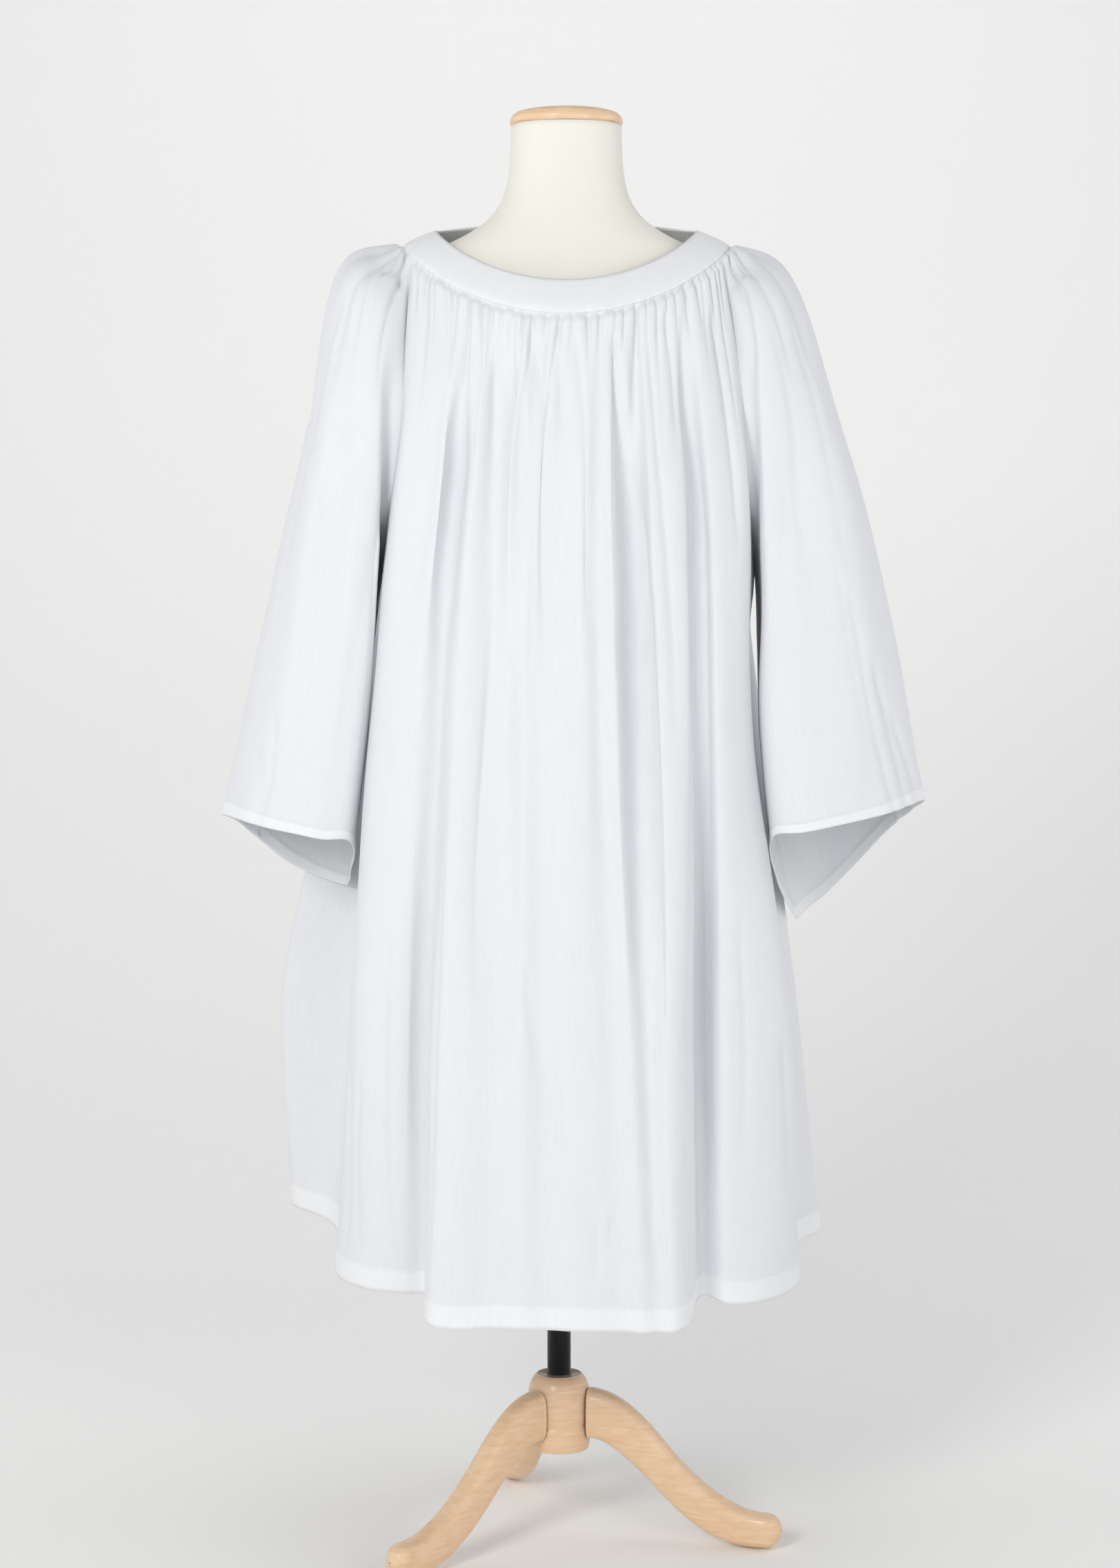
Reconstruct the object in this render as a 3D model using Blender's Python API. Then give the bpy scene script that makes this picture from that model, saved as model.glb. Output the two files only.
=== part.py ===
"""A choir surplice with a round yoke, displayed on a limbless dress form with a three-legged wooden stand.

Metres, +Z up, +X to the right of someone facing the front, the front faces -Y.
The cloth pieces are walls. A fold line is a crest or a trough that runs from the yoke to the hem.
Each panel is a smooth surface through its fold lines, so one row of a table below places one fold.
"""

import math

import bmesh
import bpy
import numpy as np
from mathutils import Vector

MM = 0.001

# ---- Driving sizes -------------------------------------------------------------------------------
CLOTH_WALL = 1.2 * MM
YOKE_WALL = 2.0 * MM
SEAM_INSET = 0.2 * MM  # each piece stops this far short of its seam line
UNDERARM_EASE = 0.8 * MM  # where a sleeve and the body lie nearly parallel, the sleeve stands this far off

# The neckline and the gathering line of the yoke: half width, reach to the front and back, and heights.
NECKLINE = dict(half=141, front=100, back=82, side_z=1432, front_z=1370, back_z=1450)
GATHER_LINE = dict(half=177, front=126, back=113, side_z=1416, front_z=1333, back_z=1412)
YOKE_DIP = 1.55  # how late the neckline dips as it comes round to the front
YOKE_CROWN = 1.2 * MM  # how far the middle of the yoke stands above its edges
SLEEVE_HEAD_DEG = 20.0  # a sleeve takes this much of the yoke to each side of the shoulder line

CHEST_Z, WAIST_Z, KNEE_Z = 1215, 870, 600  # where the tables place a fold line, besides yoke and hem
UNDERARM_SHARE = 0.32  # how far down its length a sleeve closes into a tube, and the side seam starts

# ---- Fold lines of the front, from the wearer's right side seam to the left, in mm ---------------
#            angle on    across and      across and      across and      across, depth and
#            the yoke    depth, chest    depth, waist    depth, knee     height at the hem
FOLD_COLUMNS = (
    "yoke_deg", "chest_x", "chest_y", "waist_x", "waist_y", "knee_x", "knee_y", "hem_x", "hem_y", "hem_z"
)
FRONT_FOLDS = (
    (-153, -170, -104, -211, -106, -228, -112, -248, -84, 303),  # outer edge of the right panel
    (-140, -143, -120, -186, -136, -200, -142, -212, -136, 299),
    (-131, -126, -133, -160, -150, -168, -154, -172, -150, 298),
    (-124, -112, -128, -137, -156, -148, -156, -150, -150, 297),  # trough beside the centre panel
    (-117, -95, -143, -120, -174, -135, -204, -143, -232, 284),  # right edge of the centre panel
    (-109, -71, -141, -92, -181, -106, -211, -118, -243, 281),
    (-104, -56, -151, -66, -179, -72, -208, -77, -240, 282),
    (-98, -40, -146, -44, -187, -46, -217, -46, -246, 282),
    (-93, -24, -154, -27, -184, -24, -212, -20, -242, 281),
    (-88, -4, -149, -3, -189, 1, -219, 6, -248, 281),
    (-82, 21, -154, 20, -190, 26, -218, 32, -247, 280),
    (-78, 34, -148, 36, -184, 46, -213, 58, -243, 279),
    (-73, 48, -152, 55, -189, 66, -217, 80, -246, 278),
    (-66, 72, -135, 78, -163, 84, -203, 96, -241, 278),  # long trough left of the centre
    (-62, 86, -144, 98, -184, 103, -214, 112, -241, 278),
    (-51, 123, -130, 131, -170, 128, -194, 125, -224, 280),  # left edge of the centre panel
    (-47, 133, -118, 141, -150, 144, -146, 146, -156, 297),  # deep trough beside it
    (-43, 146, -124, 159, -158, 163, -163, 170, -164, 290),
    (-33, 170, -112, 181, -140, 205, -142, 212, -140, 287),
    (-27, 183, -103, 199, -108, 238, -100, 250, -80, 291),  # outer edge of the left panel
)

# ---- Fold lines of the back, from the wearer's left side seam to the right, in mm ----------------
BACK_FOLDS = (
    (24, 185, 91, 203, 78, 228, 62, 264, 50, 312),
    (28, 182, 101, 224, 116, 258, 104, 288, 82, 316),
    (36, 168, 116, 196, 150, 252, 140, 276, 132, 310),
    (44, 152, 120, 174, 142, 214, 148, 238, 148, 301),  # trough
    (52, 132, 134, 156, 176, 190, 194, 208, 206, 298),
    (60, 107, 131, 128, 160, 150, 172, 162, 182, 296),  # trough
    (67, 86, 144, 104, 186, 120, 212, 130, 236, 294),
    (75, 62, 146, 74, 188, 83, 218, 90, 242, 293),
    (83, 40, 138, 42, 168, 48, 182, 52, 198, 294),  # deep trough
    (92, 12, 150, 12, 190, 14, 219, 15, 244, 293),
    (99, -12, 147, -16, 180, -18, 203, -18, 223, 294),  # shallow trough
    (106, -36, 151, -46, 189, -54, 218, -60, 243, 295),
    (114, -64, 138, -76, 166, -88, 181, -96, 192, 297),  # deep trough
    (122, -90, 143, -112, 182, -130, 212, -140, 232, 298),
    (130, -114, 132, -138, 162, -162, 178, -176, 192, 302),  # trough
    (137, -134, 132, -168, 170, -202, 192, -220, 204, 308),
    (145, -154, 119, -196, 152, -240, 158, -262, 158, 322),  # trough
    (151, -172, 108, -250, 154, -306, 148, -306, 142, 338),
    (154, -176, 100, -256, 126, -320, 106, -310, 92, 343),
    (157, -177, 91, -200, 78, -238, 62, -266, 50, 334),
)

# ---- Seam lines, in mm ---------------------------------------------------------------------------
# Columns: share of the piece's length, across (outwards from the middle on either side), depth, height.
# The last raglan point is the underarm.
LEFT_FRONT_RAGLAN = (
    (0.10, 180, -68, 1312), (0.19, 189, -82, 1222), (0.27, 198, -64, 1126), (0.32, 206, 2, 1064),
)
LEFT_BACK_RAGLAN = (
    (0.10, 179, 68, 1318), (0.19, 186, 82, 1226), (0.27, 195, 46, 1128), (0.32, 206, 2, 1064),
)
RIGHT_FRONT_RAGLAN = (
    (0.10, 171, -68, 1312), (0.19, 176, -82, 1222), (0.27, 190, -64, 1126), (0.32, 201, 2, 1064),
)
RIGHT_BACK_RAGLAN = (
    (0.10, 172, 68, 1318), (0.19, 178, 82, 1226), (0.27, 189, 46, 1128), (0.32, 201, 2, 1064),
)
LEFT_SIDE_SEAM = ((0.37, 199, 4, 1010), (0.52, 192, 6, 860), (0.76, 216, 10, 600), (1.0, 254, 16, 306))
RIGHT_SIDE_SEAM = ((0.37, 195, 4, 1010), (0.52, 190, 6, 860), (0.76, 216, 10, 604), (1.0, 250, 16, 324))
LEFT_SLEEVE_SEAM = ((0.45, 210, 18, 986), (0.66, 216, 42, 866), (1.0, 262, 118, 668))
RIGHT_SLEEVE_SEAM = ((0.45, 211, 18, 986), (0.66, 223, 34, 866), (1.0, 246, 66, 712))

# ---- Fold lines of a sleeve, from the front seam over the top of the arm to the back seam, in mm ---
#     angle from the      over the shoulder     level with the underarm    at the elbow             at the hem
SLEEVE_LEVELS = (0.10, 0.32, 0.66, 1.0)
LEFT_SLEEVE_FOLDS = (
    (-17, (185, -79, 1322), (207, -64, 1078), (212, -30, 890), (233, 8, 722)),
    (-12, (196, -84, 1346), (210, -94, 1096), (209, -102, 918), (222, -114, 783)),  # inner front edge
    (-9, (207, -78, 1358), (234, -98, 1114), (234, -116, 932), (250, -131, 787)),
    (-6, (216, -68, 1368), (252, -92, 1140), (270, -112, 946), (290, -129, 795)),
    (-3, (224, -48, 1382), (278, -82, 1178), (312, -98, 972), (342, -106, 805)),
    (-1, (230, -25, 1392), (293, -56, 1202), (338, -64, 996), (374, -66, 812)),
    (1, (232, -2, 1397), (301, -14, 1214), (352, -20, 1018), (391, -22, 814)),  # top of the arm
    (4, (230, 22, 1395), (297, 32, 1212), (349, 30, 1012), (386, 26, 801)),
    (7, (224, 46, 1386), (281, 66, 1192), (332, 72, 984), (363, 74, 775)),
    (10, (213, 68, 1370), (256, 88, 1150), (300, 98, 944), (331, 108, 735)),
    (14, (197, 81, 1346), (228, 68, 1100), (252, 98, 894), (293, 130, 693)),
    (17, (187, 78, 1326), (211, 44, 1078), (226, 74, 884), (276, 128, 680)),
)
RIGHT_SLEEVE_FOLDS = (
    (-17, (177, -79, 1322), (204, -62, 1078), (216, -30, 890), (238, 2, 728)),
    (-12, (190, -84, 1348), (200, -97, 1096), (214, -104, 920), (233, -106, 777)),  # inner front edge
    (-9, (204, -78, 1362), (220, -104, 1118), (238, -116, 932), (258, -122, 779)),
    (-6, (215, -68, 1374), (240, -92, 1146), (262, -110, 944), (288, -122, 785)),
    (-3, (225, -48, 1388), (262, -82, 1180), (294, -96, 970), (330, -100, 792)),
    (-1, (231, -25, 1399), (275, -56, 1202), (314, -62, 994), (357, -62, 797)),
    (1, (234, -2, 1404), (282, -14, 1214), (327, -18, 1018), (376, -20, 798)),  # top of the arm
    (4, (232, 22, 1402), (278, 32, 1212), (323, 28, 1012), (365, 22, 788)),
    (7, (225, 46, 1393), (263, 66, 1192), (306, 66, 984), (344, 62, 764)),
    (10, (212, 68, 1376), (242, 88, 1150), (278, 88, 944), (312, 82, 736)),
    (14, (192, 81, 1350), (219, 66, 1100), (250, 80, 894), (280, 90, 720)),
    (17, (180, 78, 1328), (207, 44, 1078), (233, 62, 882), (262, 84, 714)),
)

# ---- The dress form, in mm: height, half width, front and back reach -----------------------------
TORSO_COLUMNS = ("z", "half", "front", "back")
TORSO_SECTIONS = (
    (806, 118, 86, 92),
    (812, 134, 98, 106),
    (850, 148, 108, 116),
    (930, 156, 114, 120),
    (1010, 150, 112, 112),
    (1080, 148, 114, 108),
    (1160, 158, 124, 116),
    (1240, 164, 130, 122),
    (1300, 166, 120, 120),
    (1345, 170, 101, 112),
    (1375, 176, 86, 104),
    (1390, 173, 79, 97),
    (1402, 160, 74, 91),
    (1414, 137, 70, 86),
    (1428, 108, 66, 80),
    (1446, 83, 62, 73),
    (1470, 68, 59, 66),
    (1500, 62, 58, 62),
    (1544, 60, 58, 60),
)
TORSO_SQUARENESS = 2.25  # 2 is an ellipse
TORSO_SIDES = 40
NECK_Y = 4  # the neck's middle sits this far behind the stand's pole

POLE_RADIUS = 13
HUB_RADIUS, HUB_BOTTOM, HUB_TOP = 34, 92, 176
LEG_ANGLES_DEG = (-15, 105, 225)
STAND_AT = (-8, -8)  # the pole's axis
LEG_THICK = 30
# The middle line of a leg, out from the pole and up, as the four control points of one cubic curve.
LEG_CURVE = ((34.4, 134), (98, 134), (140, 12), (234, 17))
LEG_DEPTH = ((0.0, 56), (0.45, 40), (0.8, 42), (1.0, 36))
LEG_END_DEG = 75  # how far the round end of a leg turns to each side
GAP = 0.3  # between touching pieces of the stand
LEG_CLEARANCE = 0.1  # added to the gap between a leg and the hub, whose faces are flat
# Radius, and height over the hub's foot or the neck's top.
HUB_PROFILE = ((30, 0), (HUB_RADIUS, 4), (HUB_RADIUS, 76), (26, HUB_TOP - HUB_BOTTOM))
CAP_PROFILE = ((60, GAP), (61, 8), (56, 14), (30, 18))

SAME_POINT = 0.02  # points this close are one point of a seam
PINCH_REACH = 0.1
MITRE_LIMIT = 0.6  # least cosine that a mitre is worked out for

CLOTH_WHITE = (0.86, 0.87, 0.90)
LINEN_CREAM = (0.80, 0.76, 0.66)
WOOD = (0.72, 0.50, 0.30)
BLACK = (0.02, 0.02, 0.022)


# ---- Curves --------------------------------------------------------------------------------------
def smooth_line(shares, points, at):
    """A smooth line through points, each at its share, read at the shares in `at`.

    The slope at a point is the mean of those to both sides, weighted towards the nearer point.
    """
    shares, points, at = np.asarray(shares, float), np.asarray(points, float), np.asarray(at, float)
    step = np.diff(shares)
    slope = np.diff(points, axis=0) / step[:, None]
    tangent = np.empty_like(points)
    weight = step[1:] / (step[1:] + step[:-1])
    tangent[1:-1] = weight[:, None] * slope[:-1] + (1 - weight)[:, None] * slope[1:]
    tangent[0], tangent[-1] = slope[0], slope[-1]
    i = np.clip(np.searchsorted(shares, at, side="right") - 1, 0, len(shares) - 2)
    f = ((at - shares[i]) / step[i])[:, None]
    h = step[i][:, None]
    return (
        (2 * f**3 - 3 * f**2 + 1) * points[i]
        + (f**3 - 2 * f**2 + f) * h * tangent[i]
        + (3 * f**2 - 2 * f**3) * points[i + 1]
        + (f**3 - f**2) * h * tangent[i + 1]
    )


def across_lines(lines, per_gap):
    """Rows of points across an array of lines (line, row, xyz), with per_gap points to each next line.

    Each row is a cubic curve. Its knots are spaced by the square root of the distance between lines,
    which keeps a tight fold from swinging wide.
    """
    chord = np.maximum(np.linalg.norm(np.diff(lines, axis=0), axis=2), 1e-6)
    step = np.sqrt(chord)[:, :, None]
    slope = np.diff(lines, axis=0) / step
    tangent = np.empty_like(lines)
    weight = step[1:] / (step[1:] + step[:-1])
    tangent[1:-1] = weight * slope[:-1] + (1 - weight) * slope[1:]
    tangent[0], tangent[-1] = slope[0], slope[-1]
    columns = []
    for i in range(len(lines) - 1):
        for f in np.arange(per_gap) / per_gap:
            columns.append(
                (2 * f**3 - 3 * f**2 + 1) * lines[i]
                + (f**3 - 2 * f**2 + f) * step[i] * tangent[i]
                + (3 * f**2 - 2 * f**3) * lines[i + 1]
                + (f**3 - f**2) * step[i] * tangent[i + 1]
            )
    columns.append(lines[-1])
    return np.array(columns)


def yoke_edge(edge, degrees):
    """Points of an edge of the yoke at these angles, 0 at the left shoulder and -90 at centre front."""
    a = np.radians(np.asarray(degrees, float))
    reach = np.where(np.sin(a) < 0, edge["front"], edge["back"])
    end_z = np.where(np.sin(a) < 0, edge["front_z"], edge["back_z"])
    dip = np.abs(np.sin(a)) ** YOKE_DIP
    z = edge["side_z"] + (end_z - edge["side_z"]) * dip
    return np.stack([edge["half"] * np.cos(a), reach * np.sin(a), z], axis=-1) * MM


# ---- Walls ---------------------------------------------------------------------------------------
def grid_normals(grid, closed=False):
    """Unit normals of a grid (column, row, xyz), from the differences between neighbours."""
    if closed:
        along = np.roll(grid, -1, axis=0) - np.roll(grid, 1, axis=0)
    else:
        along = np.gradient(grid, axis=0)
    normal = np.cross(np.gradient(grid, axis=1), along)
    return normal / np.maximum(np.linalg.norm(normal, axis=2, keepdims=True), 1e-12)


def seam_normals(grids, own, pinches):
    """Normals of all the pieces together. Points that lie on one another share one, the sum of theirs.

    Walls built along a shared normal meet at a mitre, so they stay apart however sharply two pieces meet.
    A pinch is a point where the shared one is straight down: the underarm, where sleeve and body touch.
    """
    points = np.concatenate([grid.reshape(-1, 3) for grid in grids])
    total = np.concatenate([normal.reshape(-1, 3) for normal in own])
    keys = np.round(points / (SAME_POINT * MM)).astype(np.int64)
    _, place = np.unique(keys, axis=0, return_inverse=True)
    place = place.ravel()
    shared = np.zeros((place.max() + 1, 3))
    np.add.at(shared, place, total)
    shared = shared[place]
    for pinch in pinches:
        shared[np.linalg.norm(points - pinch, axis=1) < PINCH_REACH * MM] = (0, 0, -1)
    shared /= np.linalg.norm(shared, axis=1, keepdims=True)
    sizes = np.cumsum([grid.shape[0] * grid.shape[1] for grid in grids])[:-1]
    return [part.reshape(grid.shape) for part, grid in zip(np.split(shared, sizes), grids)]


def step_inside(edge, inside, amount):
    """Points of an edge moved towards the points next to them."""
    step = inside - edge
    return edge + step / np.linalg.norm(step, axis=-1, keepdims=True) * amount


def wall(name, grid, own, shared, thick, closed_from=None, ring=False):
    """A closed wall on both sides of a grid.

    The first and last columns are joined from the row closed_from on, and all the way with ring.
    Edges that are sewn to another piece stop SEAM_INSET short of the seam.
    """
    columns, rows = grid.shape[:2]
    joined = rows if closed_from is None else closed_from
    joined = 0 if ring else joined
    reach = thick / 2 / np.maximum((own * shared).sum(axis=2, keepdims=True), MITRE_LIMIT)
    moved = grid.copy()
    if ring:
        moved[:, -1] = step_inside(grid[:, -1], grid[:, -2], SEAM_INSET)
    else:
        moved[0, :joined] = step_inside(grid[0, :joined], grid[1, :joined], SEAM_INSET)
        moved[-1, :joined] = step_inside(grid[-1, :joined], grid[-2, :joined], SEAM_INSET)
        moved[:, 0] = step_inside(moved[:, 0], moved[:, 1], SEAM_INSET)
    inner, outer = moved - shared * reach, moved + shared * reach

    number = np.arange(columns * rows).reshape(columns, rows)
    if ring:
        number = np.concatenate([number, number[:1]])
    else:
        number[-1, joined:] = number[0, joined:]
    other = number + columns * rows
    faces = []
    for i in range(len(number) - 1):
        for j in range(rows - 1):
            faces.append((number[i, j], number[i + 1, j], number[i + 1, j + 1], number[i, j + 1]))
            faces.append((other[i, j], other[i, j + 1], other[i + 1, j + 1], other[i + 1, j]))
        faces.append((number[i, 0], other[i, 0], other[i + 1, 0], number[i + 1, 0]))
        faces.append((number[i, -1], number[i + 1, -1], other[i + 1, -1], other[i, -1]))
    for j in range(min(joined, rows - 1)):
        faces.append((number[0, j], number[0, j + 1], other[0, j + 1], other[0, j]))
        faces.append((number[-1, j], other[-1, j], other[-1, j + 1], number[-1, j + 1]))
    points = np.concatenate([inner.reshape(-1, 3), outer.reshape(-1, 3)])
    used = sorted({int(v) for face in faces for v in face})
    place = {v: i for i, v in enumerate(used)}
    mesh = bpy.data.meshes.new(name)
    mesh.from_pydata([tuple(points[v]) for v in used], [], [tuple(place[int(v)] for v in f) for f in faces])
    return placed(name, mesh)


def placed(name, mesh):
    """Links a mesh as an object, with its faces turned outwards and shaded smooth."""
    shape = bmesh.new()
    shape.from_mesh(mesh)
    bmesh.ops.remove_doubles(shape, verts=shape.verts, dist=1e-6)
    bmesh.ops.recalc_face_normals(shape, faces=shape.faces)
    shape.to_mesh(mesh)
    shape.free()
    mesh.shade_smooth()
    obj = bpy.data.objects.new(name, mesh)
    bpy.context.scene.collection.objects.link(obj)
    return obj


# ---- Seams and fold lines ------------------------------------------------------------------------
def seam_line(yoke_deg, rows, mirrored, at):
    """A seam from the yoke down, through its rows (share, x, y, z) in mm; mirrored on the right."""
    start = yoke_edge(GATHER_LINE, 180 - yoke_deg if mirrored else yoke_deg)
    side = -1 if mirrored else 1
    points = [start] + [np.array((side * x, y, z)) * MM for _, x, y, z in rows]
    return smooth_line([0.0] + [row[0] for row in rows], points, at)


def body_fold(row, at):
    """One fold line of the front or back, from the gathering line to the hem."""
    fold = dict(zip(FOLD_COLUMNS, row))
    top = yoke_edge(GATHER_LINE, fold["yoke_deg"])
    hem = np.array((fold["hem_x"], fold["hem_y"], fold["hem_z"])) * MM
    height = top[2] - hem[2]
    chest = np.array((fold["chest_x"], fold["chest_y"], CHEST_Z)) * MM
    waist = np.array((fold["waist_x"], fold["waist_y"], WAIST_Z)) * MM
    knee = np.array((fold["knee_x"], fold["knee_y"], KNEE_Z)) * MM
    stops = (top, chest, waist, knee, hem)
    return smooth_line([(top[2] - stop[2]) / height for stop in stops], stops, at)


def body_panel(folds, first_seam, last_seam, at, per_gap):
    """The grid of the front or the back, between its two seams."""
    lines = [first_seam] + [body_fold(row, at) for row in folds] + [last_seam]
    return across_lines(np.array(lines), per_gap)


def sleeve_grid(folds, mirrored, front_seam, back_seam, at, per_gap):
    """The grid of a sleeve. Below the underarm its first and last columns are one seam."""
    side = -1 if mirrored else 1
    lines = [front_seam]
    for degrees, *levels in folds:
        top = yoke_edge(GATHER_LINE, 180 - degrees if mirrored else degrees)
        points = [top] + [np.array((side * x, y, z)) * MM for x, y, z in levels]
        lines.append(smooth_line((0.0,) + SLEEVE_LEVELS, points, at))
    lines.append(back_seam)
    return across_lines(np.array(lines), per_gap)


# ---- Materials -----------------------------------------------------------------------------------
def material(name, colour, roughness, metallic=0.0):
    made = bpy.data.materials.new(name)
    made.use_nodes = True
    shader = made.node_tree.nodes["Principled BSDF"]
    shader.inputs["Base Color"].default_value = (*colour, 1.0)
    shader.inputs["Roughness"].default_value = roughness
    shader.inputs["Metallic"].default_value = metallic
    return made


# ---- The garment ---------------------------------------------------------------------------------
def yoke_grid(front, left_sleeve, back, right_sleeve):
    """The grid of the round yoke, from the neckline out to the pieces gathered into it."""
    outside = np.concatenate([front[:-1, 0], left_sleeve[:-1, 0], back[:-1, 0], right_sleeve[:0:-1, 0]])
    reach = np.where(outside[:, 1] < 0, GATHER_LINE["front"], GATHER_LINE["back"])
    degrees = np.degrees(np.arctan2(outside[:, 1] / reach, outside[:, 0] / GATHER_LINE["half"]))
    inside = yoke_edge(NECKLINE, degrees)
    share = np.array((0.0, 0.5, 1.0))
    grid = inside[:, None] + (outside - inside)[:, None] * share[None, :, None]
    normal = grid_normals(grid, closed=True)
    return grid + normal * (YOKE_CROWN * 4 * share * (1 - share))[None, :, None]


def make_garment(cloth):
    """The yoke, front, back and two sleeves."""
    raglan = np.linspace(0.0, UNDERARM_SHARE, 6)
    at = np.concatenate([raglan, np.linspace(UNDERARM_SHARE, 1.0, 10)[1:]])
    front_deg, back_deg = -SLEEVE_HEAD_DEG, SLEEVE_HEAD_DEG
    front = body_panel(
        FRONT_FOLDS,
        seam_line(front_deg, RIGHT_FRONT_RAGLAN + RIGHT_SIDE_SEAM, True, at),
        seam_line(front_deg, LEFT_FRONT_RAGLAN + LEFT_SIDE_SEAM, False, at),
        at,
        2,
    )
    back = body_panel(
        BACK_FOLDS,
        seam_line(back_deg, LEFT_BACK_RAGLAN + LEFT_SIDE_SEAM, False, at),
        seam_line(back_deg, RIGHT_BACK_RAGLAN + RIGHT_SIDE_SEAM, True, at),
        at,
        2,
    )
    left_sleeve = sleeve_grid(
        LEFT_SLEEVE_FOLDS,
        False,
        seam_line(front_deg, LEFT_FRONT_RAGLAN + LEFT_SLEEVE_SEAM, False, at),
        seam_line(back_deg, LEFT_BACK_RAGLAN + LEFT_SLEEVE_SEAM, False, at),
        at,
        2,
    )
    right_sleeve = sleeve_grid(
        RIGHT_SLEEVE_FOLDS,
        True,
        seam_line(front_deg, RIGHT_FRONT_RAGLAN + RIGHT_SLEEVE_SEAM, True, at),
        seam_line(back_deg, RIGHT_BACK_RAGLAN + RIGHT_SLEEVE_SEAM, True, at),
        at,
        2,
    )
    yoke = yoke_grid(front, left_sleeve, back, right_sleeve)
    grids = [yoke, front, back, left_sleeve, right_sleeve]
    own = [grid_normals(yoke, closed=True)] + [grid_normals(grid) for grid in grids[1:]]
    own[4] = -own[4]  # its columns run the other way round
    underarm = list(at).index(UNDERARM_SHARE)
    shared = seam_normals(grids, own, (left_sleeve[0, underarm], right_sleeve[0, underarm]))
    pieces = [wall("yoke", yoke, own[0], shared[0], YOKE_WALL, ring=True)]
    pieces.append(wall("front", front, own[1], shared[1], CLOTH_WALL))
    pieces.append(wall("back", back, own[2], shared[2], CLOTH_WALL))
    for i, name, way in ((3, "sleeve_left", 1), (4, "sleeve_right", -1)):
        grid = grids[i].copy()
        ease = np.interp(at, (0.1, UNDERARM_SHARE), (0.0, 1.0))
        grid[0, :, 0] += way * UNDERARM_EASE * ease
        grid[-1, :, 0] += way * UNDERARM_EASE * ease
        pieces.append(wall(name, grid, own[i], shared[i], CLOTH_WALL, closed_from=underarm))
    for piece in pieces:
        piece.data.materials.append(cloth)
    return pieces


# ---- The dress form ------------------------------------------------------------------------------
def make_torso(linen):
    """The stuffed torso: a loft through rounded sections, closed below and at the top of the neck."""
    angle = np.linspace(0.0, 2 * math.pi, TORSO_SIDES, endpoint=False)
    power = 2.0 / TORSO_SQUARENESS
    cos = np.sign(np.cos(angle)) * np.abs(np.cos(angle)) ** power
    sin = np.sign(np.sin(angle)) * np.abs(np.sin(angle)) ** power
    shape = bmesh.new()
    rings = []
    for row in TORSO_SECTIONS:
        section = dict(zip(TORSO_COLUMNS, row))
        reach = np.where(sin < 0, section["front"], section["back"])
        points = zip(section["half"] * cos, reach * sin + NECK_Y)
        rings.append([shape.verts.new((x * MM, y * MM, section["z"] * MM)) for x, y in points])
    for low, high in zip(rings, rings[1:]):
        for i in range(TORSO_SIDES):
            k = (i + 1) % TORSO_SIDES
            shape.faces.new((low[i], low[k], high[k], high[i]))
    shape.faces.new(rings[0][::-1])
    shape.faces.new(rings[-1])
    mesh = bpy.data.meshes.new("form_torso")
    shape.to_mesh(mesh)
    shape.free()
    torso = placed("form_torso", mesh)
    torso.data.materials.append(linen)


def turned(name, profile, made_of, sides=32):
    """A turned piece about the pole: profile is (radius, height) in mm, from bottom to top."""
    shape = bmesh.new()
    points = [(0.0, profile[0][1])] + list(profile) + [(0.0, profile[-1][1])]
    verts = [shape.verts.new((r * MM, 0.0, z * MM)) for r, z in points]
    edges = [shape.edges.new(pair) for pair in zip(verts, verts[1:])]
    bmesh.ops.spin(
        shape,
        geom=verts + edges,
        cent=(0, 0, 0),
        axis=(0, 0, 1),
        angle=2 * math.pi,
        steps=sides,
        use_duplicate=False,
    )
    mesh = bpy.data.meshes.new(name)
    shape.to_mesh(mesh)
    shape.free()
    piece = placed(name, mesh)
    mesh.set_sharp_from_angle(angle=math.radians(35))
    piece.data.materials.append(made_of)
    return piece


def leg_outline():
    """The side view of a leg: its middle line with half its depth to each side, flat on the floor."""
    p = [np.array(point, float) for point in LEG_CURVE]
    share = np.linspace(0.0, 1.0, 15)[:, None]
    line = (1 - share) ** 3 * p[0] + 3 * (1 - share) ** 2 * share * p[1]
    line = line + 3 * (1 - share) * share**2 * p[2] + share**3 * p[3]
    along = np.gradient(line, axis=0)
    along /= np.linalg.norm(along, axis=1, keepdims=True)
    up = np.stack([-along[:, 1], along[:, 0]], axis=1)
    depth = np.interp(share[:, 0], *zip(*LEG_DEPTH))[:, None] / 2
    tip = depth[-1, 0]
    turn = np.radians(np.linspace(LEG_END_DEG, -LEG_END_DEG, 7))[:, None]
    round_end = line[-1] + tip * (np.cos(turn) * along[-1] + np.sin(turn) * up[-1])
    outline = np.concatenate([line + up * depth, round_end, (line - up * depth)[::-1]])
    outline[:, 0] = np.maximum(outline[:, 0], HUB_RADIUS + GAP + LEG_CLEARANCE)
    outline[:, 1] = np.maximum(outline[:, 1], 0.0)
    return outline


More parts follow.
